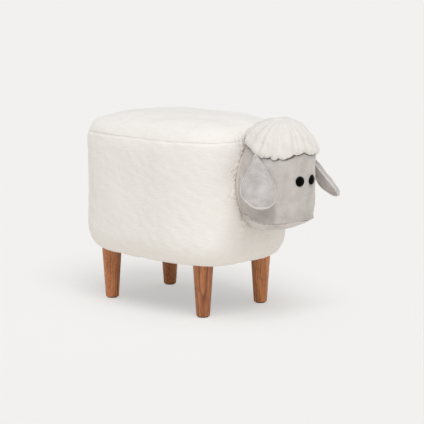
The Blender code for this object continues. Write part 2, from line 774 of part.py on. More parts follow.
def make_head(parent, velvet, fleece, stuffing, edging):
    """The stuffed head and its covers, each cut where it meets the body."""
    keep_off = cutter("body clearance", body_form("body clearance", -GAP), parent)
    core_inset = VELVET_THICKNESS + GAP
    core_rings = chin_rings(core_inset) + skull_rings(core_inset)
    core = place("head_core", skin("head_core", core_rings), stuffing, parent)
    shell = skull_rings(VELVET_THICKNESS)[::-1] + skull_rings(0)
    cover = place("head_cover", skin("head_cover", shell), velvet, parent)
    belly = lowered(chin_rings(VELVET_THICKNESS), GAP)
    bowl = belly + [lowered([head_ring(CHIN_SEAM, inset)], GAP)[0] for inset in (VELVET_THICKNESS, 0)]
    bowl += lowered(chin_rings(0), GAP)[::-1]
    chin = place("chin_panel", skin("chin_panel", bowl), velvet, parent)
    cap = place("wool_cap", cap_mesh(), fleece, parent)
    welt = place("neck_welt", head_form("neck_welt", WELT_THICKNESS), edging, parent)
    top = HEAD_TOP - WELT_TOP_DROP
    near = cutter("near the body", body_form("near the body", -WELT_WIDTH, top), parent)
    shape(welt, near, "INTERSECT")
    room = cutter("head room", head_form("head room", GAP), parent)
    for piece in (cap, welt):
        shape(piece, room)
    for piece in (core, cover, chin, cap, welt):
        shape(piece, keep_off)
    return cover, core


def head_form(name, outset):
    """The whole head as one closed form, swelled by outset."""
    return skin(name, lowered(chin_rings(-outset), GAP) + skull_rings(-outset))


def ear_directions(sign):
    """An ear's unit directions: down its length, across its face, and out of its face."""
    down = Vector(
        (
            math.sin(EAR_SPLAY),
            -math.cos(EAR_SPLAY) * math.sin(EAR_RAKE),
            -math.cos(EAR_SPLAY) * math.cos(EAR_RAKE),
        )
    )
    sideways = Vector((1, 0, 0))
    level = (sideways - down * down.x).normalized()
    out = Matrix.Rotation(EAR_TURN, 3, down) @ level
    across = out.cross(down)
    flip = Matrix.Diagonal((sign, 1, 1))
    return flip @ down, flip @ across, flip @ out


def ear_section(share):
    """(distance down, half width, half thickness) of the ear at a share of its length."""
    angle = math.acos(1 - 2 * share)
    swell = math.sin(angle) * math.sin(angle / 2) ** EAR_TIP_POWER
    pad = math.sin(angle) ** EAR_PAD_POWER * math.sin(angle / 2) ** (EAR_PAD_POWER / 2)
    return EAR_LENGTH * share, EAR_WIDTH / 2 * swell, EAR_THICKNESS / 2 * pad


def ear_mesh(sign):
    """A padded teardrop about its root, with a thin sewn edge all round."""
    down, across, out = ear_directions(sign)
    rings = []
    for share in (EAR_ROOT_START_SHARE, *EAR_STATION_SHARES):
        along, wide, thick = ear_section(share)
        along -= EAR_LENGTH * EAR_ROOT_START_SHARE
        ring = []
        for step in range(EAR_SIDES):
            angle = math.tau * step / EAR_SIDES
            lens = signed_power(math.sin(angle), EAR_LENS_POWER)
            ring.append(down * along + across * wide * math.cos(angle) + out * thick * lens)
        rings.append(ring)
    tip = down * EAR_LENGTH * (1 - EAR_ROOT_START_SHARE)
    return skin("ear", [*rings, [tip]])


def ear_root(sign):
    """The hinge point of an ear, close beside the head under the cap's edge."""
    across = ear_directions(1)[1]
    half_root = ear_section(EAR_ROOT_START_SHARE)[1] * across.x
    x = HEAD_HALF_WIDTH + GAP + half_root
    return Vector((sign * x, HEAD_Y + EAR_ROOT_BACK, CAP_EDGE - EAR_ROOT_DROP))


def make_ears(parent, velvet):
    """Each ear hangs from an empty on its hinge, whose axis runs fore and aft through the sewn root."""
    for side, sign in SIDES.items():
        hinge = bpy.data.objects.new("ear_hinge_" + side, None)
        hinge.location = ear_root(sign)
        hinge.parent = parent
        bpy.context.scene.collection.objects.link(hinge)
        place("ear_" + side, ear_mesh(sign), velvet, hinge)


def upright_oval(half_width, half_height, near, far):
    """A flat oval slab that stands across Y."""
    rings = []
    for y in (near, far):
        plan = plan_ring(half_width, half_height, 0, HEAD_BOARD_POWER, HEAD_SIDES)
        rings.append([Vector((point.x, y, HEAD_BOARD_HEIGHT + point.y)) for point in plan])
    return skin("oval", rings)


def make_head_mount(parent, parts, ply, pine, steel):
    """The block between box and cover, the board inside the head, and the bolts through both."""
    box_front = -BOX_HALF_LENGTH
    block_front = -body_front(BLOCK_HALF_WIDTH, FOAM_INSET + GAP)
    low = (-BLOCK_HALF_WIDTH, block_front, HEAD_BOARD_HEIGHT - BLOCK_HALF_HEIGHT)
    high = (BLOCK_HALF_WIDTH, box_front - GAP, HEAD_BOARD_HEIGHT + BLOCK_HALF_HEIGHT)
    mount = place("head_block", block("head_block", low, high), pine, parent)
    soften(mount)
    spare = Vector((GAP, GAP, GAP))
    room_low = Vector(low) - spare - Vector((0, OVERRUN, 0))
    room_high = Vector(high) + spare + Vector((0, OVERRUN, 0))
    shape(parts["side_foam"], cutter("block room", block("block room", room_low, room_high), parent))
    board_rear = -BODY_HALF_LENGTH - GAP
    board_front = board_rear - HEAD_BOARD_THICKNESS
    oval = upright_oval(HEAD_BOARD_HALF_WIDTH, HEAD_BOARD_HALF_HEIGHT, board_rear, board_front)
    board = place("head_board", oval, ply, parent)
    room = upright_oval(
        HEAD_BOARD_HALF_WIDTH + GAP,
        HEAD_BOARD_HALF_HEIGHT + GAP,
        board_rear + OVERRUN,
        board_front - GAP,
    )
    shape(parts["head_core"], cutter("board room", room, parent))
    tip = box_front + WALL_THICKNESS + WASHER_THICKNESS + HEX_NUT_THICKNESS + BOLT_STICK_OUT
    shank = tip - board_front
    drilled = (parts["front_board"], mount, parts["side_cover"], board)
    for side, sign in SIDES.items():
        spot = (sign * HEAD_BOLT_SPREAD, tip, HEAD_BOARD_HEIGHT)
        forward = (math.pi / 2, 0, 0)
        place("head_bolt_" + side, head_bolt_mesh(shank), steel, parent, spot, forward)
        washer_spot = (spot[0], box_front + WALL_THICKNESS + GAP + WASHER_THICKNESS, spot[2])
        place("head_washer_" + side, washer_mesh(), steel, parent, washer_spot, forward)
        nut_spot = (spot[0], washer_spot[1] + GAP + HEX_NUT_THICKNESS, spot[2])
        place("head_nut_" + side, hex_nut_mesh(), steel, parent, nut_spot, forward)
        reach = shank + OVERRUN
        hole = rod_cutter("bolt hole " + side, parent, HEAD_BOLT_RADIUS + GAP, reach, spot, forward)
        for piece in drilled:
            shape(piece, hole)
        cap_start = (spot[0], board_front + OVERRUN, spot[2])
        deep = OVERRUN + HEAD_BOLT_CAP_THICKNESS + 2 * GAP
        wide = HEAD_BOLT_CAP_RADIUS + GAP
        pocket = rod_cutter("bolt pocket " + side, parent, wide, deep, cap_start, forward)
        shape(parts["head_core"], pocket)


def head_bolt_mesh(shank):
    """A carriage bolt from its tip along its own Z to its domed head, over a shank."""
    seat = shank + GAP
    profile = (
        (0, 0),
        (HEAD_BOLT_RADIUS, 0),
        (HEAD_BOLT_RADIUS, seat),
        (HEAD_BOLT_CAP_RADIUS, seat),
        (HEAD_BOLT_CAP_RADIUS / 2, seat + HEAD_BOLT_CAP_THICKNESS),
        (0, seat + HEAD_BOLT_CAP_THICKNESS),
    )
    return turned("head_bolt", profile, SMALL_SIDES)


def washer_mesh():
    bore = HEAD_BOLT_RADIUS + GAP
    profile = (
        (bore, 0),
        (WASHER_RADIUS, 0),
        (WASHER_RADIUS, WASHER_THICKNESS),
        (bore, WASHER_THICKNESS),
    )
    return turned("head_washer", profile, SMALL_SIDES, closed=True)


def hex_nut_mesh():
    """A hexagon nut, its bore wide enough for a round bolt between its flats."""
    bore = (HEAD_BOLT_RADIUS + GAP) / math.cos(math.pi / HEX_SIDES)
    profile = (
        (bore, 0),
        (HEX_NUT_RADIUS, 0),
        (HEX_NUT_RADIUS, HEX_NUT_THICKNESS),
        (bore, HEX_NUT_THICKNESS),
    )
    return turned("head_nut", profile, HEX_SIDES, closed=True)


def main():
    clear_scene()
    plush = finish("cream plush", (0.80, 0.77, 0.71), 0.95)
    fleece = finish("white fleece", (0.84, 0.82, 0.78), 0.98)
    velvet = finish("grey velvet", (0.57, 0.55, 0.54), 0.8)
    edging = finish("beige edging", (0.66, 0.62, 0.56), 0.9)
    wood = finish("stained wood", (0.35, 0.12, 0.05), 0.45)
    ply = finish("plywood", (0.55, 0.40, 0.25), 0.7)
    pine = finish("pine", (0.65, 0.48, 0.28), 0.7)
    foam = finish("foam", (0.80, 0.76, 0.60), 0.95)
    stuffing = finish("fibre stuffing", (0.85, 0.85, 0.83), 0.98)
    lining = finish("black lining", (0.03, 0.03, 0.03), 0.9)
    steel = finish("zinc plated steel", (0.60, 0.60, 0.62), 0.35, 1)
    felt = finish("grey felt", (0.20, 0.19, 0.18), 0.95)
    gloss = finish("black gloss plastic", (0.01, 0.01, 0.01), 0.12)
    nylon = finish("white nylon", (0.75, 0.75, 0.73), 0.5)

    middle = bpy.data.objects.new("box_middle", None)
    middle.location = (0, MIDDLE_Y, 0)
    bpy.context.scene.collection.objects.link(middle)

    boards = make_box(middle, ply, pine)
    make_screws(middle, boards, steel)
    side_cover, side_foam, dust_cover = make_covers(middle, plush, lining, foam)
    make_legs(middle, boards["base_board"], (side_cover, dust_cover), wood, steel, felt)
    head_cover, head_core = make_head(middle, velvet, fleece, stuffing, edging)
    make_eyes(middle, head_cover, head_core, gloss, nylon)
    make_ears(middle, velvet)
    parts = {
        "front_board": boards["front_board"],
        "side_foam": side_foam,
        "side_cover": side_cover,
        "head_core": head_core,
    }
    make_head_mount(middle, parts, ply, pine, steel)


main()
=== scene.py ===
"""The looks of a sheep footstool: plush body, velvet head, fleece cap, turned legs and all that is inside."""

import functools
import json
import logging
import math
from collections.abc import Callable, Sequence
from dataclasses import dataclass, field, replace
from enum import Enum
from typing import Any

import bmesh
import bpy
import numpy as np
from mathutils import Matrix, Vector


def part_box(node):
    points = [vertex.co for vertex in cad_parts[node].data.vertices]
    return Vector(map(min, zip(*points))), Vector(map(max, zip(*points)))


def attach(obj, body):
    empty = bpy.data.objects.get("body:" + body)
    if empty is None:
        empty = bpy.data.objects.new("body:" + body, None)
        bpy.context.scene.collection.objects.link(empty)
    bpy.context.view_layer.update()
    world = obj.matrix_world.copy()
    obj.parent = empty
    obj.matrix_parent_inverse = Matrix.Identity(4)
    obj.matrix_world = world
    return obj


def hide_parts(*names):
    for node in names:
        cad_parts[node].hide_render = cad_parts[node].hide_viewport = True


Array = np.ndarray
Mesh = bpy.types.Mesh
Node = bpy.types.Node
Socket = bpy.types.NodeSocket
Tree = bpy.types.NodeTree
Colour = tuple[float, float, float, float]
Place = tuple[float, float, float]
Rows = list[np.ndarray]
Curve = Callable[[np.ndarray], np.ndarray]
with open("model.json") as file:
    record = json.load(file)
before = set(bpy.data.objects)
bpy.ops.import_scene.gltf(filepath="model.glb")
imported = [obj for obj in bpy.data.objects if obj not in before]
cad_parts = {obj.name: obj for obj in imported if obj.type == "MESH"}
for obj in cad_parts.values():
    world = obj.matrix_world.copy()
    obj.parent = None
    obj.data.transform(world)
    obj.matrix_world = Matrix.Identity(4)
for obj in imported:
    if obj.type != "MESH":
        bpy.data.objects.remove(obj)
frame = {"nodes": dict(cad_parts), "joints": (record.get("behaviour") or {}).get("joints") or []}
log = logging.getLogger("footstool")

GAP = 0.0003
BARE = 1e-9
CORNERS = ("front_left", "front_right", "rear_left", "rear_right")


class Slot(Enum):
    """The material slots of the record."""

    PLUSH = "plush"
    FLEECE = "fleece"
    VELVET = "velvet"
    EDGING = "edging"
    LEG_WOOD = "leg_wood"
    PLYWOOD = "plywood"
    PINE = "pine"
    FOAM = "foam"
    STUFFING = "stuffing"
    LINING = "lining"
    STEEL = "steel"
    FELT = "felt"
    EYE_GLOSS = "eye_gloss"
    NYLON = "nylon"


class Carrier(Enum):
    """The bodies that pieces ride on."""

    STOOL = "stool"
    LEFT_EAR = "left_ear"
    RIGHT_EAR = "right_ear"


class Axis(Enum):
    """A direction of the frame, by its place in a point."""

    X = 0
    Y = 1
    Z = 2


def srgb(red: int, green: int, blue: int) -> Colour:
    """The linear colour of three screen values from 0 to 255."""
    linear = [((value / 255 + 0.055) / 1.055) ** 2.4 for value in (red, green, blue)]
    return (*linear, 1.0)


# Shader trees


class Graph:
    """Adds nodes to a shader tree and joins them by socket."""

    def __init__(self, tree: Tree) -> None:
        """Take the tree that the nodes go into."""
        self.tree = tree

    def feed(self, socket: Socket, source: Any) -> None:
        """Link a socket to another, or set its value.

        Args:
            socket: The input.
            source: A socket or a value.
        """
        if isinstance(source, Socket):
            self.tree.links.new(source, socket)
        else:
            socket.default_value = source

    def add(self, kind: str, sources: dict[str | int, Any], **settings: Any) -> Node:
        """Add a node.

        Args:
            kind: The node's type name.
            sources: What feeds each input, a socket or a value, by the input's name or number.
            settings: The node's own settings.

        Returns:
            The new node.
        """
        node = self.tree.nodes.new(kind)
        for name, value in settings.items():
            setattr(node, name, value)
        for name, source in sources.items():
            self.feed(node.inputs[name], source)
        return node

    def mix(self, share: Any, low: Any, high: Any) -> Socket:
        """A colour between two others."""
        return self.add("ShaderNodeMix", {0: share, 6: low, 7: high}, data_type="RGBA").outputs[2]

    def maths(self, operation: str, first: Any, second: Any = 0.0) -> Socket:
        """One sum on one or two values."""
        return self.add("ShaderNodeMath", {0: first, 1: second}, operation=operation).outputs[0]

    def about_zero(self, value: Any, size: Any) -> Socket:
        """A value round a half, moved to lie about zero and scaled."""
        return self.maths("MULTIPLY", self.maths("SUBTRACT", value, 0.5), size)

    def vector(self, operation: str, sources: dict[str | int, Any]) -> Socket:
        """One sum on vectors."""
        return self.add("ShaderNodeVectorMath", sources, operation=operation).outputs[0]

    def ramp(self, value: Any, low: float, high: float, start: float = 0.0, end: float = 1.0) -> Socket:
        """A value's place between low and high, held within start and end."""
        sources = {"Value": value, "From Min": low, "From Max": high, "To Min": start, "To Max": end}
        return self.add("ShaderNodeMapRange", sources).outputs[0]

    def noise(self, position: Any, scale: Any, detail: float = 1.0, roughness: float = 0.5) -> Socket:
        """Soft random values round a half."""
        sources = {"Vector": position, "Scale": scale, "Detail": detail, "Roughness": roughness}
        return self.add("ShaderNodeTexNoise", sources).outputs["Fac"]

    def stretched(self, position: Any, stretch: Sequence[float]) -> Socket:
        """A position scaled along each axis, so that a pattern there is drawn out or pressed together."""
        return self.vector("MULTIPLY", {0: position, 1: stretch})

    def place(self) -> Socket:
        """The piece's own coordinates in metres."""
        return self.add("ShaderNodeTexCoord", {}).outputs["Object"]

    def mark(self, name: str) -> Socket:
        """A value that the mesh carries at its points."""
        return self.add("ShaderNodeAttribute", {}, attribute_name=name).outputs["Fac"]

    def bump(self, height: Any, depth: float) -> Socket:
        """A normal that follows a height of up to depth metres."""
        return self.add("ShaderNodeBump", {"Height": height, "Distance": depth}).outputs["Normal"]

    def effect(self, tree: Tree, **sources: Any) -> Node:
        """Place a node group with its own values. Underscores in a name stand for spaces.

        Args:
            tree: The group.
            sources: What feeds its inputs.

        Returns:
            The group's node.
        """
        node = self.add("ShaderNodeGroup", {}, node_tree=tree)
        for name, source in sources.items():
            self.feed(node.inputs[name.replace("_", " ")], source)
        return node


SOCKET_KINDS = {float: "NodeSocketFloat", 3: "NodeSocketVector", 4: "NodeSocketColor"}


class Effect(Graph):
    """A shader node group with named inputs and outputs."""

    def __init__(self, name: str, inputs: dict[str, Any]) -> None:
        """Make the group and its inputs, whose defaults tell their kinds.

        Args:
            name: The group's name.
            inputs: Default values, by label.
        """
        super().__init__(bpy.data.node_groups.new(name, "ShaderNodeTree"))
        for label, value in inputs.items():
            kind = SOCKET_KINDS[float if isinstance(value, float) else len(value)]
            socket = self.tree.interface.new_socket(name=label, in_out="INPUT", socket_type=kind)
            socket.default_value = value
        self.given = self.add("NodeGroupInput", {}).outputs
        self.result = self.tree.nodes.new("NodeGroupOutput")

    def put_out(self, kind: str, **sources: Socket) -> None:
        """Make outputs of one kind and feed them.

        Args:
            kind: Their socket type.
            sources: What feeds each, by label.
        """
        for label, source in sources.items():
            self.tree.interface.new_socket(name=label, in_out="OUTPUT", socket_type=kind)
            self.tree.links.new(source, self.result.inputs[label])


@functools.cache
def nap_effect() -> Tree:
    """A short pile: fine hairs, small tufts and soft brushed patches.

    Returns:
        The node group.
    """
    start = {"Position": (0, 0, 0), "Light": (1, 1, 1, 1), "Dark": (0, 0, 0, 1), "Pile": 900.0}
    start |= {"Patch": 20.0, "Brushing": 0.5, "Tufting": 0.5, "Dullness": 0.9}
    group = Effect("nap", start)
    given = group.given
    hairs = group.noise(given["Position"], given["Pile"], 2)
    tufts = group.noise(given["Position"], group.maths("MULTIPLY", given["Pile"], 0.3), 1)
    patches = group.noise(given["Position"], given["Patch"], 4, 0.62)
    fine = group.maths("ADD", group.maths("MULTIPLY", hairs, 0.4), group.maths("MULTIPLY", tufts, 0.6))
    fine_part = group.about_zero(fine, given["Tufting"])
    patch_part = group.about_zero(patches, given["Brushing"])
    both = group.maths("ADD", fine_part, patch_part)
    shade = group.ramp(both, -0.25, 0.25)
    rough = group.maths("ADD", given["Dullness"], group.maths("MULTIPLY", both, -0.2))
    group.put_out("NodeSocketColor", Colour=group.mix(shade, given["Dark"], given["Light"]))
    group.put_out("NodeSocketFloat", Roughness=rough, Height=fine)
    return group.tree


@functools.cache
def painted_light_and_shade_effect() -> Tree:
    """Painted highlight and painted shade: the edge mark mixes in a light colour as a painted highlight, and
    the fold mark mixes in a dark colour as painted shade.

    Returns:
        The node group.
    """
    # Edge is the share of painted highlight, Fold the share of painted shade.
    start = {"Colour": (1, 1, 1, 1), "Edge": 0.0, "Edge colour": (1, 1, 1, 1)}
    start |= {"Fold": 0.0, "Fold colour": (0, 0, 0, 1)}
    group = Effect("sewn edges", start)
    given = group.given
    edged = group.mix(given["Edge"], given["Colour"], given["Edge colour"])
    group.put_out("NodeSocketColor", Colour=group.mix(given["Fold"], edged, given["Fold colour"]))
    return group.tree


@functools.cache
def timber_effect() -> Tree:
    """Year rings about Z, fine fibres along Z and short pores.

    Returns:
        The node group.
    """
    start = {"Position": (0, 0, 0), "Early": (1, 1, 1, 1), "Late": (0, 0, 0, 1), "Pore": (0, 0, 0, 1)}
    start |= {"Ring gap": 0.004, "Waviness": 0.003, "Contrast": 0.6, "Shine": 0.45}
    group = Effect("timber", start)
    given = group.given
    slow = group.stretched(given["Position"], (28, 28, 9))
    drift = group.add("ShaderNodeTexNoise", {"Vector": slow, "Scale": 1.0, "Detail": 2.0}).outputs["Color"]
    centred = group.vector("SUBTRACT", {0: drift, 1: (0.5, 0.5, 0.5)})
    sway = group.vector("SCALE", {0: centred, "Scale": given["Waviness"]})
    moved = group.vector("ADD", {0: given["Position"], 1: sway})
    flat = group.stretched(moved, (1, 1, 0))
    reach = group.add("ShaderNodeVectorMath", {0: flat}, operation="LENGTH").outputs["Value"]
    year = group.maths("FRACT", group.maths("DIVIDE", reach, given["Ring gap"]))
    late = group.maths("POWER", year, 2.2)
    fall = group.ramp(year, 0.9, 1.0, 1.0, 0.0)
    band = group.maths("MULTIPLY", late, fall)
    fibres = group.noise(group.stretched(given["Position"], (1, 1, 0.02)), 900.0, 2)
    broad = group.noise(group.stretched(given["Position"], (1, 1, 0.06)), 130.0, 2)
    pores = group.noise(group.stretched(given["Position"], (1, 1, 0.05)), 1300.0, 0)
    grain = group.about_zero(fibres, 0.9)
    tone = group.maths("ADD", grain, group.about_zero(broad, 1.1))
    shade = group.maths("ADD", group.maths("MULTIPLY", band, given["Contrast"]), tone)
    wood = group.mix(group.ramp(shade, -0.25, 0.85), given["Early"], given["Late"])
    hole = group.ramp(pores, 0.62, 0.7)
    rough = group.maths("ADD", given["Shine"], group.maths("MULTIPLY", hole, 0.25))
    height = group.maths("SUBTRACT", group.maths("MULTIPLY", fibres, 0.4), hole)
    wood = group.mix(group.maths("MULTIPLY", hole, 0.6), wood, given["Pore"])
    group.put_out("NodeSocketColor", Colour=wood)
    group.put_out("NodeSocketFloat", Roughness=rough, Height=height)
    return group.tree


@functools.cache
def speckle_effect() -> Tree:
    """Small specks and soft clouds, as on plating, moulded plastic, foam and felt.

    Returns:
        The node group.
    """
    start = {"Position": (0, 0, 0), "Light": (1, 1, 1, 1), "Dark": (0, 0, 0, 1)}
    start |= {"Speck": 1500.0, "Cloud": 60.0, "Dullness": 0.5, "Spread": 0.1}
    group = Effect("speckle", start)
    given = group.given
    specks = group.noise(given["Position"], given["Speck"], 2)
    clouds = group.noise(given["Position"], given["Cloud"], 3)
    both = group.maths("MULTIPLY", group.maths("ADD", specks, clouds), 0.5)
    rough = group.maths("ADD", given["Dullness"], group.about_zero(both, given["Spread"]))
    shade = group.ramp(both, 0.35, 0.65)
    group.put_out("NodeSocketColor", Colour=group.mix(shade, given["Dark"], given["Light"]))
    group.put_out("NodeSocketFloat", Roughness=rough, Height=specks)
    return group.tree


# Finishes


class Finish:
    """What every finish has: a name, a slot, and a material that is built once."""

    name: str
    slot: Slot
    made: dict[str, bpy.types.Material] = {}

    def wire(self, graph: Graph, shader: Node) -> None:
        """Join the finish's nodes to its shader."""
        raise NotImplementedError

    def material(self) -> bpy.types.Material:
        """The finish's material.

        Returns:
            The same material at every call.
        """
        if self.name not in Finish.made:
            material = bpy.data.materials.new(self.name)
            material.use_nodes = True
            self.wire(Graph(material.node_tree), material.node_tree.nodes["Principled BSDF"])
            Finish.made[self.name] = material
        return Finish.made[self.name]

    def given(self, *names: str) -> dict[str, Any]:
        """Some of the finish's values, named as an effect's inputs are."""
        return {name.capitalize(): getattr(self, name) for name in names}

    @staticmethod
    def coat(graph: Graph, shader: Node, effect: Node, depth: float) -> None:
        """Feed the shader the colour, roughness and relief of an effect.

        Args:
            graph: The material's tree.
            shader: Its Principled node.
            effect: The effect's node.
            depth: The relief's depth.
        """
        graph.feed(shader.inputs["Base Color"], effect.outputs["Colour"])
        graph.feed(shader.inputs["Roughness"], effect.outputs["Roughness"])
        graph.feed(shader.inputs["Normal"], graph.bump(effect.outputs["Height"], depth))


@dataclass(frozen=True)
class PileCloth(Finish):
    """A plush, velvet or fleece."""

    name: str
    slot: Slot
    light: Colour
    dark: Colour
    # edge is the colour of painted highlights, fold the colour of painted shade.
    edge: Colour
    fold: Colour
    pile: float = 900.0
    patch: float = 20.0
    brushing: float = 0.5
    tufting: float = 0.5
    dullness: float = 0.92
    stretch: Place = (1.0, 1.0, 1.0)
    depth: float = 0.0012
    sheen: float = 0.3
    sheen_roughness: float = 0.5

    def wire(self, graph: Graph, shader: Node) -> None:
        """Lay the nap, the painted highlight and painted shade that the mesh's edge and fold marks carry, and
        the sheen.

        Args:
            graph: The material's tree.
            shader: Its Principled node.
        """
        nap = graph.effect(
            nap_effect(),
            Position=graph.stretched(graph.place(), self.stretch),
            **self.given("light", "dark", "pile", "patch", "brushing", "tufting", "dullness"),
        )
        # Painted highlight from the edge mark and painted shade from the fold mark.
        sewn = graph.effect(
            painted_light_and_shade_effect(),
            Colour=nap.outputs["Colour"],
            Edge=graph.mark("edge"),
            Edge_colour=self.edge,
            Fold=graph.mark("fold"),
            Fold_colour=self.fold,
        )
        self.coat(graph, shader, nap, self.depth)
        graph.feed(shader.inputs["Base Color"], sewn.outputs["Colour"])
        graph.feed(shader.inputs["Sheen Weight"], self.sheen)
        graph.feed(shader.inputs["Sheen Roughness"], self.sheen_roughness)


@dataclass(frozen=True)
class Timber(Finish):
    """Solid wood, its length along Z, with the tree's heart beside it."""

    name: str
    slot: Slot
    early: Colour
    late: Colour
    pore: Colour
    heart: Place = (0.0, 0.06, 0.0)
    lean: Place = (0.05, 0.03, 0.0)
    ring_gap: float = 0.0034
    waviness: float = 0.004
    contrast: float = 0.7
    shine: float = 0.42
    depth: float = 0.0002

    def wire(self, graph: Graph, shader: Node) -> None:
        """Lay the grain about the tree's heart.

        Args:
            graph: The material's tree.
            shader: Its Principled node.
        """
        sources = {"Vector": graph.place(), "Location": self.heart, "Rotation": self.lean}
        timber = graph.effect(
            timber_effect(),
            Position=graph.add("ShaderNodeMapping", sources).outputs[0],
            **self.given("early", "late", "pore", "ring_gap", "waviness", "contrast", "shine"),
        )
        self.coat(graph, shader, timber, self.depth)


QUARTER = math.pi / 2
BOARD_TURNS = {Axis.X: (0.0, QUARTER, 0.0), Axis.Y: (QUARTER, 0.0, 0.0), Axis.Z: (0.0, QUARTER, 0.0)}


@dataclass(frozen=True)
class Plywood(Finish):
    """Board with grain on its faces and its plies showing round its edges."""

    name: str
    thick_way: Axis
    slot: Slot = Slot.PLYWOOD
    early: Colour = srgb(214, 184, 140)
    late: Colour = srgb(176, 138, 92)
    pore: Colour = srgb(120, 86, 54)
    heart: Place = (0.02, 0.31, 0.27)
    ring_gap: float = 0.006
    ply: float = 0.0015

    def wire(self, graph: Graph, shader: Node) -> None:
        """Choose the face's grain or the edge's plies by which way the surface looks.

        Args:
            graph: The material's tree.
            shader: Its Principled node.
        """
        place = graph.place()
        turn = BOARD_TURNS[self.thick_way]
        laid = graph.add("ShaderNodeMapping", {"Vector": place, "Location": self.heart, "Rotation": turn})
        timber = graph.effect(
            timber_effect(),
            Position=laid.outputs[0],
            **self.given("early", "late", "pore", "ring_gap"),
        )
        across = graph.add("ShaderNodeSeparateXYZ", {0: place}).outputs[self.thick_way.value]
        layer = graph.maths("PINGPONG", across, self.ply)
        plies = graph.mix(graph.ramp(layer, 0.3 * self.ply, 0.7 * self.ply), self.late, self.early)
        normal = graph.add("ShaderNodeNewGeometry", {}).outputs["Normal"]
        facing = graph.add("ShaderNodeSeparateXYZ", {0: normal}).outputs[self.thick_way.value]
        on_face = graph.maths("GREATER_THAN", graph.maths("ABSOLUTE", facing), 0.6)
        self.coat(graph, shader, timber, GAP)
        graph.feed(shader.inputs["Base Color"], graph.mix(on_face, plies, timber.outputs["Colour"]))


@dataclass(frozen=True)
class Moulded(Finish):
    """Metal, plastic, foam, felt or lining: an even stuff with specks and clouds."""

    name: str
    slot: Slot
    light: Colour
    dark: Colour
    speck: float = 1500.0
    cloud: float = 60.0
    dullness: float = 0.5
    spread: float = 0.15
    metallic: float = 0.0
    specular: float = 0.5
    depth: float = 0.0002

    def wire(self, graph: Graph, shader: Node) -> None:
        """Lay the specks.

        Args:
            graph: The material's tree.
            shader: Its Principled node.
        """
        speckle = graph.effect(
            speckle_effect(),
            Position=graph.place(),
            **self.given("light", "dark", "speck", "cloud", "dullness", "spread"),
        )
        self.coat(graph, shader, speckle, self.depth)
        shader.inputs["Metallic"].default_value = self.metallic
        shader.inputs["Specular IOR Level"].default_value = self.specular


@dataclass(frozen=True)
class Woven(Finish):
    """A thin cloth whose threads cross in X and Y."""

    name: str
    slot: Slot
    thread: Colour
    hollow: Colour
    gauge: float = 0.0011
    dullness: float = 0.85
    spread: float = 0.1
    depth: float = 0.0003

    def wire(self, graph: Graph, shader: Node) -> None:
        """Cross two sets of threads, with some unevenness.

        Args:
            graph: The material's tree.
            shader: Its Principled node.
        """
        place = graph.place()
        loose = graph.noise(place, 120.0, 2)
        parts = graph.add("ShaderNodeSeparateXYZ", {0: place}).outputs
        threads = []
        for way in (Axis.X, Axis.Y):
            wave = graph.maths("PINGPONG", parts[way.value], self.gauge / 2)
            threads.append(graph.maths("DIVIDE", wave, self.gauge / 2))
        crossing = graph.maths("MULTIPLY", *threads)
        uneven = graph.maths("ADD", crossing, graph.about_zero(loose, 0.5))
        shade = graph.mix(graph.ramp(uneven, 0.1, 0.9), self.hollow, self.thread)
        dullness = graph.ramp(loose, 0.0, 1.0, self.dullness - self.spread, self.dullness + self.spread)
        graph.feed(shader.inputs["Base Color"], shade)
        graph.feed(shader.inputs["Roughness"], dullness)
        graph.feed(shader.inputs["Normal"], graph.bump(crossing, self.depth))


PLUSH = PileCloth(
    "cream plush",
    Slot.PLUSH,
    light=srgb(244, 242, 239),
    dark=srgb(235, 231, 226),
    # edge: painted highlight below the top seam; fold: painted shade in puckers, round the neck and along the
    # seam.
    edge=srgb(251, 249, 246),
    fold=srgb(206, 190, 174),
    pile=1000.0,
    patch=30.0,
    brushing=0.2,
    tufting=0.52,
    stretch=(0.28, 0.28, 1.0),
    depth=0.0009,
)
FLEECE = PileCloth(
    "white fleece",
    Slot.FLEECE,
    light=srgb(236, 233, 230),
    dark=srgb(226, 222, 217),
    # edge: painted highlight on the cap's rim and lip; fold: painted shade in the fold valleys.
    edge=srgb(250, 248, 245),
    fold=srgb(212, 205, 196),
    pile=520.0,
    patch=60.0,
    brushing=0.5,
    tufting=0.35,
    stretch=(1.0, 1.0, 0.16),
    depth=0.0018,
)
VELVET = PileCloth(
    "grey velvet",
    Slot.VELVET,
    light=srgb(211, 206, 204),
    dark=srgb(189, 183, 180),
    # edge: painted highlight along the chin seam, on the paler chin panel and on the ears' rims; fold:
    # painted shade, also on the ears.
    edge=srgb(240, 236, 234),
    fold=srgb(86, 77, 70),
    pile=1100.0,
    patch=38.0,
    brushing=1.3,
    tufting=0.35,
    depth=0.0006,
)
EAR_VELVET = replace(
    VELVET, name="ear velvet", light=srgb(202, 197, 196), dark=srgb(176, 170, 168), brushing=1.6
)
EDGING = PileCloth(
    "beige edging",
    Slot.EDGING,
    light=srgb(222, 215, 207),
    dark=srgb(202, 193, 184),
    edge=srgb(226, 218, 208),
    fold=srgb(150, 138, 126),
    pile=900.0,
    patch=60.0,
    depth=0.0006,
)
LEG_WOOD = Timber(
    "stained leg wood",
    Slot.LEG_WOOD,
    early=srgb(218, 141, 88),
    late=srgb(130, 69, 36),
    pore=srgb(84, 40, 20),
    contrast=0.85,
)
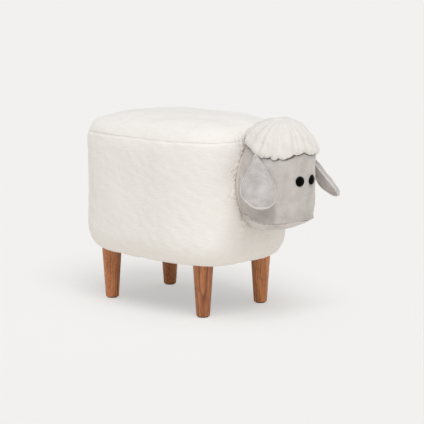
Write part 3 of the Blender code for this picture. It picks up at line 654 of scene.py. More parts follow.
# A lighter copy of the leg wood as painted light, and a darker copy as painted shade, each for one leg.
PAINTED_LIGHT_LEG_WOOD = replace(
    LEG_WOOD, name="stained leg wood, pale blank", early=srgb(238, 159, 101), late=srgb(142, 78, 41)
)
PAINTED_SHADE_LEG_WOOD = replace(
    LEG_WOOD, name="stained leg wood, deep blank", early=srgb(194, 125, 78), late=srgb(116, 61, 32)
)
PINE = Timber("pine", Slot.PINE, srgb(226, 196, 146), srgb(190, 146, 92), srgb(150, 110, 70))
PLY_FLAT = Plywood("plywood flat", Axis.Z)
PLY_FRONT = Plywood("plywood front", Axis.Y)
PLY_SIDE = Plywood("plywood side", Axis.X)
FOAM = Moulded("seat foam", Slot.FOAM, srgb(238, 228, 196), srgb(214, 200, 160), speck=700.0, dullness=0.95)
STUFFING = Moulded(
    "fibre stuffing", Slot.STUFFING, srgb(244, 244, 241), srgb(222, 222, 218), speck=350.0, dullness=0.95
)
LINING = Woven("black lining", Slot.LINING, srgb(46, 45, 44), srgb(20, 20, 20))
STEEL = Moulded(
    "zinc plated steel", Slot.STEEL, srgb(206, 207, 210), srgb(176, 178, 182), dullness=0.35, metallic=1.0
)
FELT = Moulded(
    "grey felt", Slot.FELT, srgb(128, 122, 116), srgb(92, 87, 82), speck=1100.0, dullness=0.95, depth=0.0006
)
EYE_GLOSS = Moulded(
    "black eye plastic",
    Slot.EYE_GLOSS,
    light=srgb(5, 4, 4),
    dark=srgb(2, 2, 2),
    dullness=0.25,
    specular=0.04,
    depth=0.00002,
)
NYLON = Moulded("white nylon", Slot.NYLON, srgb(232, 231, 226), srgb(214, 212, 206), dullness=0.5)


# Forms as grids of points


def signed_power(values: Array, power: float) -> Array:
    """Each value's size raised to a power, with its sign kept."""
    return np.sign(values) * np.abs(values) ** power


def ripple(points: Array, length: float, seed: int, waves: int = 14) -> Array:
    """Soft random swells about zero, with a typical spread of one.

    Args:
        points: Places, with three numbers each.
        length: The swells' typical length.
        seed: What sets the pattern.
        waves: How many plain waves it is the sum of.

    Returns:
        One value for each place.
    """
    chance = np.random.default_rng(seed)
    ways = chance.normal(size=(3, waves))
    ways /= np.linalg.norm(ways, axis=0)
    rates = math.tau / length * chance.uniform(0.65, 1.35, waves)
    starts = chance.uniform(0, math.tau, waves)
    return np.sin(points @ (ways * rates) + starts).sum(axis=-1) / math.sqrt(waves / 2)


def even_turns(curve: Curve, count: int, weight: Curve | None = None) -> Array:
    """Turns at which a closed curve's points are evenly spread.

    Args:
        curve: Gives the points of an array of turns.
        count: How many turns are wanted.
        weight: How much denser the points stand at given points of the curve.

    Returns:
        The turns, in radians from zero.
    """
    fine = np.linspace(0, math.tau, 8193)
    points = curve(fine)
    steps = np.linalg.norm(np.diff(points, axis=0), axis=1)
    if weight is not None:
        steps = steps * weight((points[1:] + points[:-1]) / 2)
    travel = np.concatenate([[0], np.cumsum(steps)])
    return np.interp(np.arange(count) / count * travel[-1], travel, fine)


def normals(grid: Array) -> Array:
    """The outward directions of a grid whose columns run anticlockwise and whose rows climb.

    Args:
        grid: Rows of points.

    Returns:
        A unit vector at each point.
    """
    along = np.roll(grid, -1, axis=1) - np.roll(grid, 1, axis=1)
    up = np.gradient(grid, axis=0)
    out = np.cross(along, up)
    return out / np.maximum(np.linalg.norm(out, axis=2, keepdims=True), BARE)


def smoothed(values: Array, passes: int) -> Array:
    """A grid of values averaged with its neighbours, its first and last rows kept.

    Args:
        values: The grid.
        passes: How often it is averaged.

    Returns:
        The averaged grid.
    """
    for _ in range(passes):
        values = (2 * values + np.roll(values, 1, axis=1) + np.roll(values, -1, axis=1)) / 4
        middle = (values[:-2] + 2 * values[1:-1] + values[2:]) / 4
        values = np.concatenate([values[:1], middle, values[-1:]])
    return values


def lining_side(grid: Array, stand: Array, thickness: float, every: int) -> Array:
    """The inner side of a cover, on some of its rows, which stays below every dip of its outer side.

    Args:
        grid: The cover's plain outer points.
        stand: How far each point of the outer side stands out of the grid.
        thickness: The cover's thickness.
        every: How many rows of the outer side go with one of the inner side.

    Returns:
        The inner side's points.
    """
    lowest = np.minimum(stand, 0)
    for _ in range(every):
        tall = np.pad(lowest, ((1, 1), (0, 0)), mode="edge")
        lowest = np.minimum(lowest, np.minimum(tall[:-2], tall[2:]))
    lowest = np.minimum(lowest, np.minimum(np.roll(lowest, 1, axis=1), np.roll(lowest, -1, axis=1)))
    kept = np.unique(np.append(np.arange(0, len(grid), every), len(grid) - 1))
    return (grid + normals(grid) * (smoothed(lowest, 2) - thickness)[..., None])[kept]


def bell(distance: Array, width: float) -> Array:
    """One at no distance, falling softly to nothing over a few widths."""
    return np.exp(-((distance / width) ** 2))


@dataclass(frozen=True)
class Wave:
    """A sine along a line: its size, how far one radian of it reaches, and the angle that it starts at."""

    size: float
    reach: float
    start: float = 0.0

    def at(self, travel: Array) -> Array:
        """The wave's value at places along the line."""
        return self.size * np.sin(travel / self.reach + self.start)


def pole(row: Array) -> Array:
    """A row of one point in the middle of a small ring."""
    return row.mean(axis=0, keepdims=True)


def strip(low: int, low_count: int, high: int, high_count: int) -> list[tuple[int, ...]]:
    """The faces between two rings of points, either of which may be one point.

    Args:
        low: The first ring's first point.
        low_count: How many points it has.
        high: The other ring's first point.
        high_count: How many points that has.

    Returns:
        Faces, by the numbers of their points.
    """
    faces = []
    for step in range(max(low_count, high_count)):
        after = step + 1
        corners = (
            low + step % low_count,
            low + after % low_count,
            high + after % high_count,
            high + step % high_count,
        )
        faces.append(tuple(dict.fromkeys(corners)))
    return faces


def lofted(name: str, rows: Rows, marks: dict[str, Rows] | None = None, closed: bool = True) -> Mesh:
    """A mesh over rings of points.

    Args:
        name: The mesh's name.
        rows: The rings. A ring of one point is a pole, and no faces join two poles.
        marks: Values at the points, ring by ring, by name.
        closed: Whether the last ring joins the first.

    Returns:
        The mesh, shaded smooth with its faces looking out.
    """
    starts = np.cumsum([0, *(len(row) for row in rows)])
    order = list(range(len(rows)))
    pairs = list(zip(order, order[1:] + order[:1] if closed else order[1:]))
    faces: list[tuple[int, ...]] = []
    for low, high in pairs:
        if len(rows[low]) > 1 or len(rows[high]) > 1:
            faces += strip(int(starts[low]), len(rows[low]), int(starts[high]), len(rows[high]))
    mesh = bpy.data.meshes.new(name)
    mesh.from_pydata(np.concatenate(rows).tolist(), [], faces)
    for label, values in (marks or {}).items():
        layer = mesh.attributes.new(label, "FLOAT", "POINT")
        layer.data.foreach_set("value", np.concatenate(values).astype(np.float32))
    bm = bmesh.new()
    bm.from_mesh(mesh)
    bmesh.ops.recalc_face_normals(bm, faces=bm.faces)
    bm.to_mesh(mesh)
    bm.free()
    mesh.shade_smooth()
    return mesh


class PoleEnd(Enum):
    """Which end of a cover closes over a pole."""

    NEITHER = 0
    FIRST = 1
    LAST = 2


def shell(name: str, outer: Rows, inner: Rows, marks: dict[str, Rows], end: PoleEnd) -> Mesh:
    """A cover between its outer and its inner side, joined at the open ends.

    Args:
        name: The mesh's name.
        outer: The outer side's rings.
        inner: The inner side's rings.
        marks: Values at the outer points, ring by ring, by name.
        end: Which end closes over a pole.

    Returns:
        The mesh.
    """
    start = 0
    if end is PoleEnd.FIRST:
        outer = [pole(outer[0])] + outer
        inner = [pole(inner[0])] + inner
        rows = inner[::-1] + outer
        start = len(inner) + 1
    else:
        if end is PoleEnd.LAST:
            outer = outer + [pole(outer[-1])]
            inner = inner + [pole(inner[-1])]
        rows = outer + inner[::-1]
    full = {}
    for label, values in marks.items():
        full[label] = [np.zeros(len(row)) for row in rows]
        full[label][start : start + len(values)] = values
    return lofted(name, rows, full)


@dataclass(frozen=True)
class Swelling:
    """How a sewn skin swells over its stuffing, found by a short cloth simulation."""

    most: float
    pressure: float = 4.0
    growth: float = 0.0
    frames: int = 20
    spacing: float = 0.007
    smoothing: int = 6

    def swell(self, grid: Array, held: Array, capped: bool = False) -> Array:
        """Swell a grid of points.

        Args:
            grid: The skin's points, whose columns close on themselves.
            held: How firmly each point is held, from 0 to 1.
            capped: Whether the last row closes over a pole.

        Returns:
            The swelled points.
        """
        rows, columns = self._thinned(grid)
        coarse = grid[np.ix_(rows, columns)]
        moved = self._simulate(coarse, held[np.ix_(rows, columns)], capped) - coarse
        reach = np.maximum(np.linalg.norm(moved, axis=2, keepdims=True), BARE)
        moved *= self.most * np.tanh(reach / self.most) / reach
        return grid + smoothed(self._spread(moved, rows, columns, grid.shape), self.smoothing)

    def _thinned(self, grid: Array) -> tuple[Array, Array]:
        """Which rows and columns the simulation uses.

        Args:
            grid: The skin's points.

        Returns:
            Their numbers.
        """
        around = np.linalg.norm(np.diff(grid, axis=1), axis=2).sum(axis=1).max()
        along = np.linalg.norm(np.diff(grid, axis=0), axis=2).sum(axis=0).max()
        row_count = min(len(grid), max(6, round(along / self.spacing)))
        column_count = min(grid.shape[1], max(12, round(around / self.spacing)))
        rows = np.unique(np.linspace(0, len(grid) - 1, row_count).round().astype(int))
        columns = np.unique((np.arange(column_count) * grid.shape[1] / column_count).astype(int))
        return rows, columns

    def _simulate(self, coarse: Array, held: Array, capped: bool) -> Array:
        """Run the cloth and return where its points end.

        Args:
            coarse: The thinned grid.
            held: How firmly each point is held.
            capped: Whether a pole closes the last row.

        Returns:
            The points after the last frame.
        """
        rows = list(coarse)
        if capped:
            rows.append(pole(coarse[-1]))
        mesh = lofted("swelling", rows, closed=False)
        body = placed("swelling", mesh)
        group = body.vertex_groups.new(name="held")
        for index, weight in enumerate(held.ravel()):
            group.add([index], float(weight), "REPLACE")
        cloth = body.modifiers.new("cloth", "CLOTH")
        cloth.settings.use_pressure = True
        cloth.settings.uniform_pressure_force = self.pressure
        cloth.settings.shrink_min = -self.growth
        cloth.settings.vertex_group_mass = "held"
        cloth.settings.effector_weights.gravity = 0
        cloth.collision_settings.use_collision = False
        cloth.point_cache.frame_start = 1
        cloth.point_cache.frame_end = self.frames
        scene = bpy.context.scene
        for number in range(1, self.frames + 1):
            scene.frame_set(number)
        ended = body.evaluated_get(bpy.context.evaluated_depsgraph_get())
        points = np.empty(len(mesh.vertices) * 3, np.float32)
        ended.data.vertices.foreach_get("co", points)
        bpy.data.objects.remove(body)
        bpy.data.meshes.remove(mesh)
        scene.frame_set(1)
        return points.reshape(-1, 3)[: held.size].reshape(coarse.shape).astype(float)

    @staticmethod
    def _spread(moved: Array, rows: Array, columns: Array, shape: tuple[int, ...]) -> Array:
        """The moves of the thinned grid, spread over the full one.

        Args:
            moved: How far each thinned point moved.
            rows: Their rows in the full grid.
            columns: Their columns in it.
            shape: The full grid's shape.

        Returns:
            How far every point moves.
        """
        full_rows = np.arange(shape[0])
        full_columns = np.arange(shape[1])
        wrapped = np.append(columns, shape[1] + columns[0])
        wide = np.concatenate([moved, moved[:, :1]], axis=1)
        tall = np.empty((shape[0], len(wrapped), 3))
        result = np.empty(shape)
        for part in range(3):
            for column in range(len(wrapped)):
                tall[:, column, part] = np.interp(full_rows, rows, wide[:, column, part])
            for row in range(shape[0]):
                result[row, :, part] = np.interp(full_columns, wrapped, tall[row, :, part])
        return result


def fit(
    name: str,
    mesh: Mesh,
    finish: Finish,
    replaced: Sequence[str] = (),
    carrier: Carrier = Carrier.STOOL,
    spot: Sequence[float] = (0, 0, 0),
    turn: Sequence[float] = (0, 0, 0),
) -> bpy.types.Object:
    """Put a mesh in the scene as a finished piece.

    Args:
        name: The piece's name.
        mesh: Its mesh.
        finish: Its finish.
        replaced: The nodes of the frame that it stands for.
        carrier: The body that it rides on.
        spot: Where its origin lies.
        turn: How it is turned.

    Returns:
        The piece.
    """
    mesh.materials.clear()
    mesh.materials.append(finish.material())
    piece = placed(name, mesh)
    piece.location = spot
    piece.rotation_euler = turn
    bpy.context.view_layer.update()
    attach(piece, carrier.value)
    if replaced:
        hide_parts(*replaced)
    log.info("%s: %d points, %s", name, len(mesh.vertices), finish.name)
    return piece


def placed(name: str, data: bpy.types.ID) -> bpy.types.Object:
    """A new object in the scene.

    Args:
        name: Its name.
        data: Its mesh, light or camera.

    Returns:
        The object.
    """
    thing = bpy.data.objects.new(name, data)
    bpy.context.scene.collection.objects.link(thing)
    return thing


def dress(node: str, finish: Finish) -> None:
    """Give a node of the frame its finish.

    Args:
        node: Its name.
        finish: The finish.
    """
    carried = frame["nodes"][node]
    for slot in carried.material_slots:
        slot.material = finish.material()
    log.info("%s: %s", node, finish.name)


def dressed_copy(node: str, finish: Finish) -> bpy.types.Object:
    """A soft piece that keeps its node's form, pockets included."""
    mesh = frame["nodes"][node].data.copy()
    return fit(node + "_filling", mesh, finish, [node])


def turned(name: str, profile: Sequence[tuple[float, float]], sides: int, closed: bool = False) -> Mesh:
    """A turned form about Z from (radius, height) pairs.

    Args:
        name: The mesh's name.
        profile: The pairs, in order.
        sides: How many points go round.
        closed: Whether the last pair joins the first.

    Returns:
        The mesh.
    """
    turns = np.arange(sides) / sides * math.tau
    rows = []
    for radius, height in profile:
        ring = np.stack([radius * np.cos(turns), radius * np.sin(turns), np.full(sides, height)], axis=1)
        rows.append(ring if radius > 0 else ring[:1])
    mesh = lofted(name, rows, closed=closed)
    mesh.set_sharp_from_angle(angle=math.radians(50))
    return mesh


# The body and its covers


@dataclass
class BodyForm:
    """The plush body: a rounded box with drawn-in edges and a crowned seat."""

    half_width: float
    half_length: float
    middle: float
    underside: float
    seam: float
    seat: float
    plan_power: float = 3.2
    seam_drop: float = 0.029
    top_in: float = 0.0356
    top_up: float = 0.0531
    low_in: float = 0.0284
    low_up: float = 0.0531
    crown_start_share: float = 0.974
    hem: float = 0.046

    @classmethod
    def from_frame(cls) -> "BodyForm":
        """Read the sizes of the covers in the frame.

        Returns:
            The form.
        """
        low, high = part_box("side_cover")
        return cls(
            half_width=(high.x - low.x) / 2,
            half_length=(high.y - low.y) / 2,
            middle=(high.y + low.y) / 2,
            underside=low.z,
            seam=high.z,
            seat=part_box("top_cover")[1].z,
        )

    @property
    def shoulder(self) -> float:
        """The height that the upper edge's rounding would end at."""
        return self.seam + self.seam_drop

    @property
    def arc_height(self) -> float:
        """The height that the upper edge's rounding starts at."""
        return self.shoulder - self.top_up

    @property
    def crown_edge(self) -> tuple[float, float]:
        """How far in and how high the crown of the seat starts."""
        turn = math.asin(self.crown_start_share)
        return self.top_in * (1 - math.cos(turn)), self.arc_height + self.top_up * self.crown_start_share

    def shift_at(self, height: Array) -> Array:
        """How far in the skin lies at a height.

        Args:
            height: Heights.

        Returns:
            Distances inside the widest plan.
        """
        up = np.clip((height - self.arc_height) / self.top_up, 0, self.crown_start_share)
        down = np.clip((self.underside + self.low_up - height) / self.low_up, 0, 1)
        upper = self.top_in * (1 - np.sqrt(1 - up**2))
        return upper + self.low_in * (1 - np.sqrt(1 - down**2))

    def ring(self, turns: Array, shift: float, height: float, share: float = 1.0) -> Array:
        """The plan at a height, drawn in by shift and scaled by a share.

        Args:
            turns: Places round it, in radians.
            shift: How far it is drawn in.
            height: Its height.
            share: Its scale about the middle.

        Returns:
            The ring's points.
        """
        x = (self.half_width - shift) * share * signed_power(np.cos(turns), 2 / self.plan_power)
        y = (self.half_length - shift) * share * signed_power(np.sin(turns), 2 / self.plan_power)
        return np.stack([x, y + self.middle, np.full_like(x, height)], axis=1)

    def front(self, x: Array, height: Array) -> Array:
        """The y of the body's front at places across it and heights.

        Args:
            x: Places across it.
            height: Heights.

        Returns:
            The y of each place.
        """
        shift = self.shift_at(height)
        share = np.clip(np.abs(x) / (self.half_width - shift), 0, 1)
        along = (1 - share**self.plan_power) ** (1 / self.plan_power)
        return self.middle - (self.half_length - shift) * along

    def before(self, points: Array, gap: float) -> Array:
        """Points with those inside the body pressed forward against its front.

        Args:
            points: Places in the scene.
            gap: The least distance kept.

        Returns:
            The pressed points.
        """
        result = points.copy()
        limit = self.front(points[..., 0], points[..., 2]) - gap
        result[..., 1] = np.minimum(points[..., 1], limit)
        return result

    def top(self, x: Array, y: Array) -> Array:
        """The height of the body's upper side over places in plan, far down where it has none.

        Args:
            x: Places across it.
            y: Places along it.

        Returns:
            Heights.
        """
        low = np.zeros_like(x)
        high = np.full_like(x, self.half_width * (1 - BARE))
        for _ in range(40):
            shift = (low + high) / 2
            across = np.abs(x) / (self.half_width - shift)
            along = np.abs(y - self.middle) / (self.half_length - shift)
            inside = across**self.plan_power + along**self.plan_power < 1
            low = np.where(inside, shift, low)
            high = np.where(inside, high, shift)
        edge_shift, edge_height = self.crown_edge
        arc = np.clip(1 - low / self.top_in, 0, 1)
        rounded = self.arc_height + self.top_up * np.sqrt(1 - arc**2)
        share = np.clip((self.half_width - low) / (self.half_width - edge_shift), 0, 1)
        crowned = edge_height + (self.seat - edge_height) * (1 - share**2)
        return np.where(low <= BARE, 0.0, np.where(low < edge_shift, rounded, crowned))

    def above(self, points: Array, gap: float) -> Array:
        """Points with those inside the body lifted onto its upper side.

        Args:
            points: Places in the scene.
            gap: The least distance kept.

        Returns:
            The lifted points.
        """
        result = points.copy()
        result[..., 2] = np.maximum(points[..., 2], self.top(points[..., 0], points[..., 1]) + gap)
        return result


@dataclass
class NeckLine:
    """The curve along which the head meets the body, by its turn about the neck's middle."""

    turns: Array
    reach: Array
    middle_height: float
    points: Array

    def distance(self, points: Array) -> tuple[Array, Array]:
        """How far points of the front lie outside the line, and at which turn.

        Args:
            points: Places in the scene.

        Returns:
            Distances and turns.
        """
        up = points[..., 2] - self.middle_height
        turn = np.arctan2(up, points[..., 0]) % math.tau
        line = np.interp(turn, self.turns, self.reach, period=math.tau)
        return np.hypot(points[..., 0], up) - line, turn


@dataclass
class BodyCovers:
    """Side cover, top cover, the foam under them and the lining below."""

    form: BodyForm
    neck: NeckLine
    columns: int = 420
    front_density: float = 1.7
    thickness: float = 0.003
    seam_depth: float = 0.0007
    seam_width: float = 0.004
    seam_wander: float = 0.0004
    swell_depth: float = 0.0006
    swell_length: float = 0.075
    small_swell_depth: float = 0.00022
    small_swell_length: float = 0.022
    pucker_depth: float = 0.0021
    pucker_gap: float = 0.0066
    pucker_slant: float = 0.45
    pucker_reach: float = 0.018
    pucker_drifts: tuple[Wave, ...] = (Wave(0.55, 0.011), Wave(0.4, 0.0047, 1.0))
    pucker_run: Wave = Wave(0.45, 0.0083, 2.0)
    first_fold: float = 0.6
    second_fold: float = 0.55
    second_rate: float = 1.13
    # Painted shade in the puckers' valleys.
    pucker_shade: float = 0.6
    neck_draw: float = 0.002
    deepest: float = 0.004
    # Painted shade in a thin dark line where the body meets the neck's edging.
    neck_shade: float = 0.7
    neck_shade_width: float = 0.0016
    edging_reach: float = 0.0036
    stitch_gap: float = 0.008
    stitch_depth: float = 0.0003
    stitch_drift: Wave = Wave(1.5, 0.021)
    # A painted highlight just below the top seam, and painted shade along the seam.
    edge_drop: float = 0.0026
    edge_width: float = 0.0014
    seam_painted_highlight: float = 0.5
    seam_shade: float = 0.1
    lining_margin: float = 0.034
    lining_thickness: float = 0.0006
    lining_turn_share: float = 0.97
    lining_wave: float = 0.0001
    lining_shares: tuple[float, ...] = (1.0, 0.985, 0.95, 0.9, 0.8, 0.65, 0.5, 0.33, 0.16)
    staple_count: int = 26
    staple_inset: float = 0.009
    staple_size: Place = (0.0105, 0.0011, 0.0006)
    staple_bevel: float = 0.00022
    held_rows: int = 8
    held_round_neck: float = 0.012

    def __post_init__(self) -> None:
        """Spread the columns round the plan, denser round the neck."""
        form = self.form

        def dense(points: Array) -> Array:
            """How much denser the columns stand near the neck."""
            front = bell(points[:, 0], 0.1) * (points[:, 1] < form.middle)
            return 1 + self.front_density * front

        self.turns = even_turns(lambda t: form.ring(t, 0.0, 0.0), self.columns, dense)

    def _puckers(self, points: Array) -> tuple[Array, Array]:
        """Folds that run out from the neck, with painted shade in their valleys and a thin painted dark line
        along the neck's edging.

        Args:
            points: Places in the scene.

        Returns:
            How far each point stands out, and its shade.
        """
        away, turn = self.neck.distance(points)
        before = points[..., 1] < self.form.middle
        travel = turn * float(self.neck.reach.mean())
        phase = travel / self.pucker_gap + sum(drift.at(travel) for drift in self.pucker_drifts)
        slant = np.clip(away, 0, None) / self.pucker_gap * self.pucker_slant
        folds = self.first_fold * np.sin(math.tau * (phase + slant))
        folds += self.second_fold * np.sin(math.tau * (self.second_rate * phase - slant))
        length = self.pucker_reach * (0.75 + self.pucker_run.at(travel))
        fade = np.exp(-np.clip(away, 0, None) / length) * before
        draw = -self.neck_draw * bell(np.clip(away, 0, None), self.pucker_reach) * before
        # Painted shade in the folds' valleys and in a thin line round the neck's edging.
        shade = self.pucker_shade * np.clip(-folds, 0, 1) * fade
        shade += self.neck_shade * bell(away - self.edging_reach, self.neck_shade_width) * before
        return draw + self.pucker_depth * folds * fade, shade

    def _seam(self, points: Array) -> tuple[Array, Array, Array]:
        """The drawn-in seam round the top: its depth, a painted highlight just below it and painted shade
        along it.

        Args:
            points: Places in the scene.

        Returns:
            The three values at each point.
        """
        level = points * np.array([1, 1, 0])
        off = points[..., 2] - self.form.seam + self.seam_wander * ripple(level, 0.03, 13)
        draw = -self.seam_depth * bell(off, self.seam_width)
        angle = np.arctan2(points[..., 1] - self.form.middle, points[..., 0])
        travel = angle * (self.form.half_width + self.form.half_length) / 2
        gathers = np.sin(math.tau * travel / self.stitch_gap + self.stitch_drift.at(travel))
        draw += self.stitch_depth * gathers * bell(off, 3 * self.seam_width)
        # Painted highlight just below the seam, and painted shade along it.
        edge = self.seam_painted_highlight * bell(off + self.edge_drop, self.edge_width)
        return draw, edge, self.seam_shade * bell(off, self.edge_width)

    def _sculpt(self, grid: Array) -> tuple[Array, Array, Array]:
        """How far swells, seam and puckers stand out of a grid, with its painted highlight (edge) and painted
        shade (fold) marks.

        Args:
            grid: Its plain outer points.

        Returns:
            The three values at each point.
        """
        seam, edge, seam_shade = self._seam(grid)
        puckers, pucker_shade = self._puckers(grid)
        swell = self.swell_depth * ripple(grid, self.swell_length, 11)
        swell += self.small_swell_depth * ripple(grid, self.small_swell_length, 12)
        shade = np.clip(seam_shade + pucker_shade, 0, 1)
        return np.maximum(seam + puckers + swell, -self.deepest), edge, shade

    def _shell(self, name: str, grid: Array, end: PoleEnd) -> Mesh:
        """A cover of one thickness over its sculpted outer grid.

        Args:
            name: The mesh's name.
            grid: Its plain outer points.
            end: Which end closes over a pole.

        Returns:
            The mesh.
        """
        stand, edge, fold = self._sculpt(grid)
        outer = grid + normals(grid) * stand[..., None]
        inner = lining_side(grid, stand, self.thickness, 5)
        # The edge mark carries painted highlight, the fold mark painted shade.
        marks = {"edge": list(edge), "fold": list(fold)}
        return shell(name, list(outer), list(inner), marks, end)

    def side_grid(self) -> Array:
        """The side cover's outside, from its hem under the box up to the seam.

        Returns:
            Rows of points, from below.
        """
        form = self.form
        pairs = [(form.hem + (form.low_in - form.hem) * step / 6, form.underside) for step in range(6)]
        for turn in np.linspace(0, QUARTER, 26):
            shift = form.low_in * (1 - math.sin(turn))
            pairs.append((shift, form.underside + form.low_up * (1 - math.cos(turn))))
        low = form.underside + form.low_up
        for height in np.linspace(low, form.arc_height, 66)[1:]:
            pairs.append((0.0, float(height)))
        for height in np.linspace(form.arc_height, form.seam, 22)[1:]:
            pairs.append((float(form.shift_at(np.array(height))), float(height)))
        return np.array([form.ring(self.turns, shift, height) for shift, height in pairs])

    def top_grid(self) -> Array:
        """The top cover's outside, from the seam inwards over the seat.

        Returns:
            Rows of points, from the seam.
        """
        form = self.form
        edge_shift, edge_height = form.crown_edge
        start = math.asin((form.seam - form.arc_height) / form.top_up)
        rows = []
        for turn in np.linspace(start, math.asin(form.crown_start_share), 24):
            shift = form.top_in * (1 - math.cos(turn))
            rows.append(form.ring(self.turns, shift, form.arc_height + form.top_up * math.sin(turn)))
        for share in np.linspace(1, 0, 44)[1:-1]:
            height = edge_height + (form.seat - edge_height) * (1 - share**2)
            rows.append(form.ring(self.turns, edge_shift, height, share))
        return np.array(rows)

    def _lining(self) -> bpy.types.Object:
        """The dust cover, stapled flat below the box, with small waves between its staples.

        Returns:
            The piece.
        """
        form = self.form
        low = form.underside - GAP - self.lining_thickness
        rows = []
        for share in self.lining_shares:
            ring = form.ring(self.turns[::2], self.lining_margin, low, share)
            wave = self.lining_wave * (1 + ripple(ring, 0.03, 21) / 2) * bell(np.array(1 - share), 0.2)
            ring[:, 2] -= np.clip(wave, 0, None)
            if share > self.lining_turn_share:
                ring[:, 2] += self.lining_thickness * 0.75
            rows.append(ring)
        rows.append(pole(rows[-1]))
        upper = [row + (0, 0, self.lining_thickness) for row in rows[:-1]]
        for row in upper:
            row[:, 2] = form.underside - GAP
        mesh = lofted("dust_cover_cloth", rows + [pole(upper[-1])] + upper[::-1])
        piece = fit("dust_cover_cloth", mesh, LINING, ["dust_cover"])
        staples = self._staples(low)
        return piece

    def _staples(self, height: float) -> bpy.types.Object:
        """The row of wire staples along the lining's edge.

        Args:
            height: The lining's height.

        Returns:
            The piece.
        """
        form = self.form
        inset = self.lining_margin + self.staple_inset
        turns = even_turns(lambda t: form.ring(t, inset, height), self.staple_count)
        ring = form.ring(turns, inset, height - self.lining_wave)
        ahead = form.ring(turns + 0.02, inset, height - self.lining_wave)
        bm = bmesh.new()
        for spot, after in zip(ring, ahead):
            way = math.atan2(after[1] - spot[1], after[0] - spot[0])
            size = Matrix.Diagonal((*self.staple_size, 1))
            where = Matrix.Translation(spot) @ Matrix.Rotation(way, 4, "Z") @ size
            wire = bmesh.ops.create_cube(bm, size=1, matrix=where)
            edges = list({edge for vert in wire["verts"] for edge in vert.link_edges})
            bmesh.ops.bevel(bm, geom=edges, offset=self.staple_bevel, segments=2, affect="EDGES")
        mesh = bpy.data.meshes.new("dust_cover_staples")
        bm.to_mesh(mesh)
        bm.free()
        mesh.shade_smooth()
        return fit("dust_cover_staples", mesh, STEEL)

    def build(self) -> None:
        """Make and dress every soft piece of the body."""
        side = self.side_grid()
        top = self.top_grid()
        side_held = np.zeros(side.shape[:2])
        side_held[: self.held_rows] = 1
        side_held[-2:] = 1
        top_held = np.zeros(top.shape[:2])
        top_held[:2] = 1
        away, _ = self.neck.distance(side)
        side_held[(away < self.held_round_neck) & (side[..., 1] < self.form.middle)] = 1
        side = Swelling(most=0.0018, spacing=0.011).swell(side, side_held)
        top = Swelling(most=0.0022, spacing=0.011).swell(top, top_held, capped=True)
        side_mesh = self._shell("side_cover_cloth", side, PoleEnd.NEITHER)
        fit("side_cover_cloth", side_mesh, PLUSH, ["side_cover"])
        top_mesh = self._shell("top_cover_cloth", top, PoleEnd.LAST)
        fit("top_cover_cloth", top_mesh, PLUSH, ["top_cover"])
        dressed_copy("seat_foam", FOAM)
        dressed_copy("side_foam", FOAM)
        self._lining()


# The head


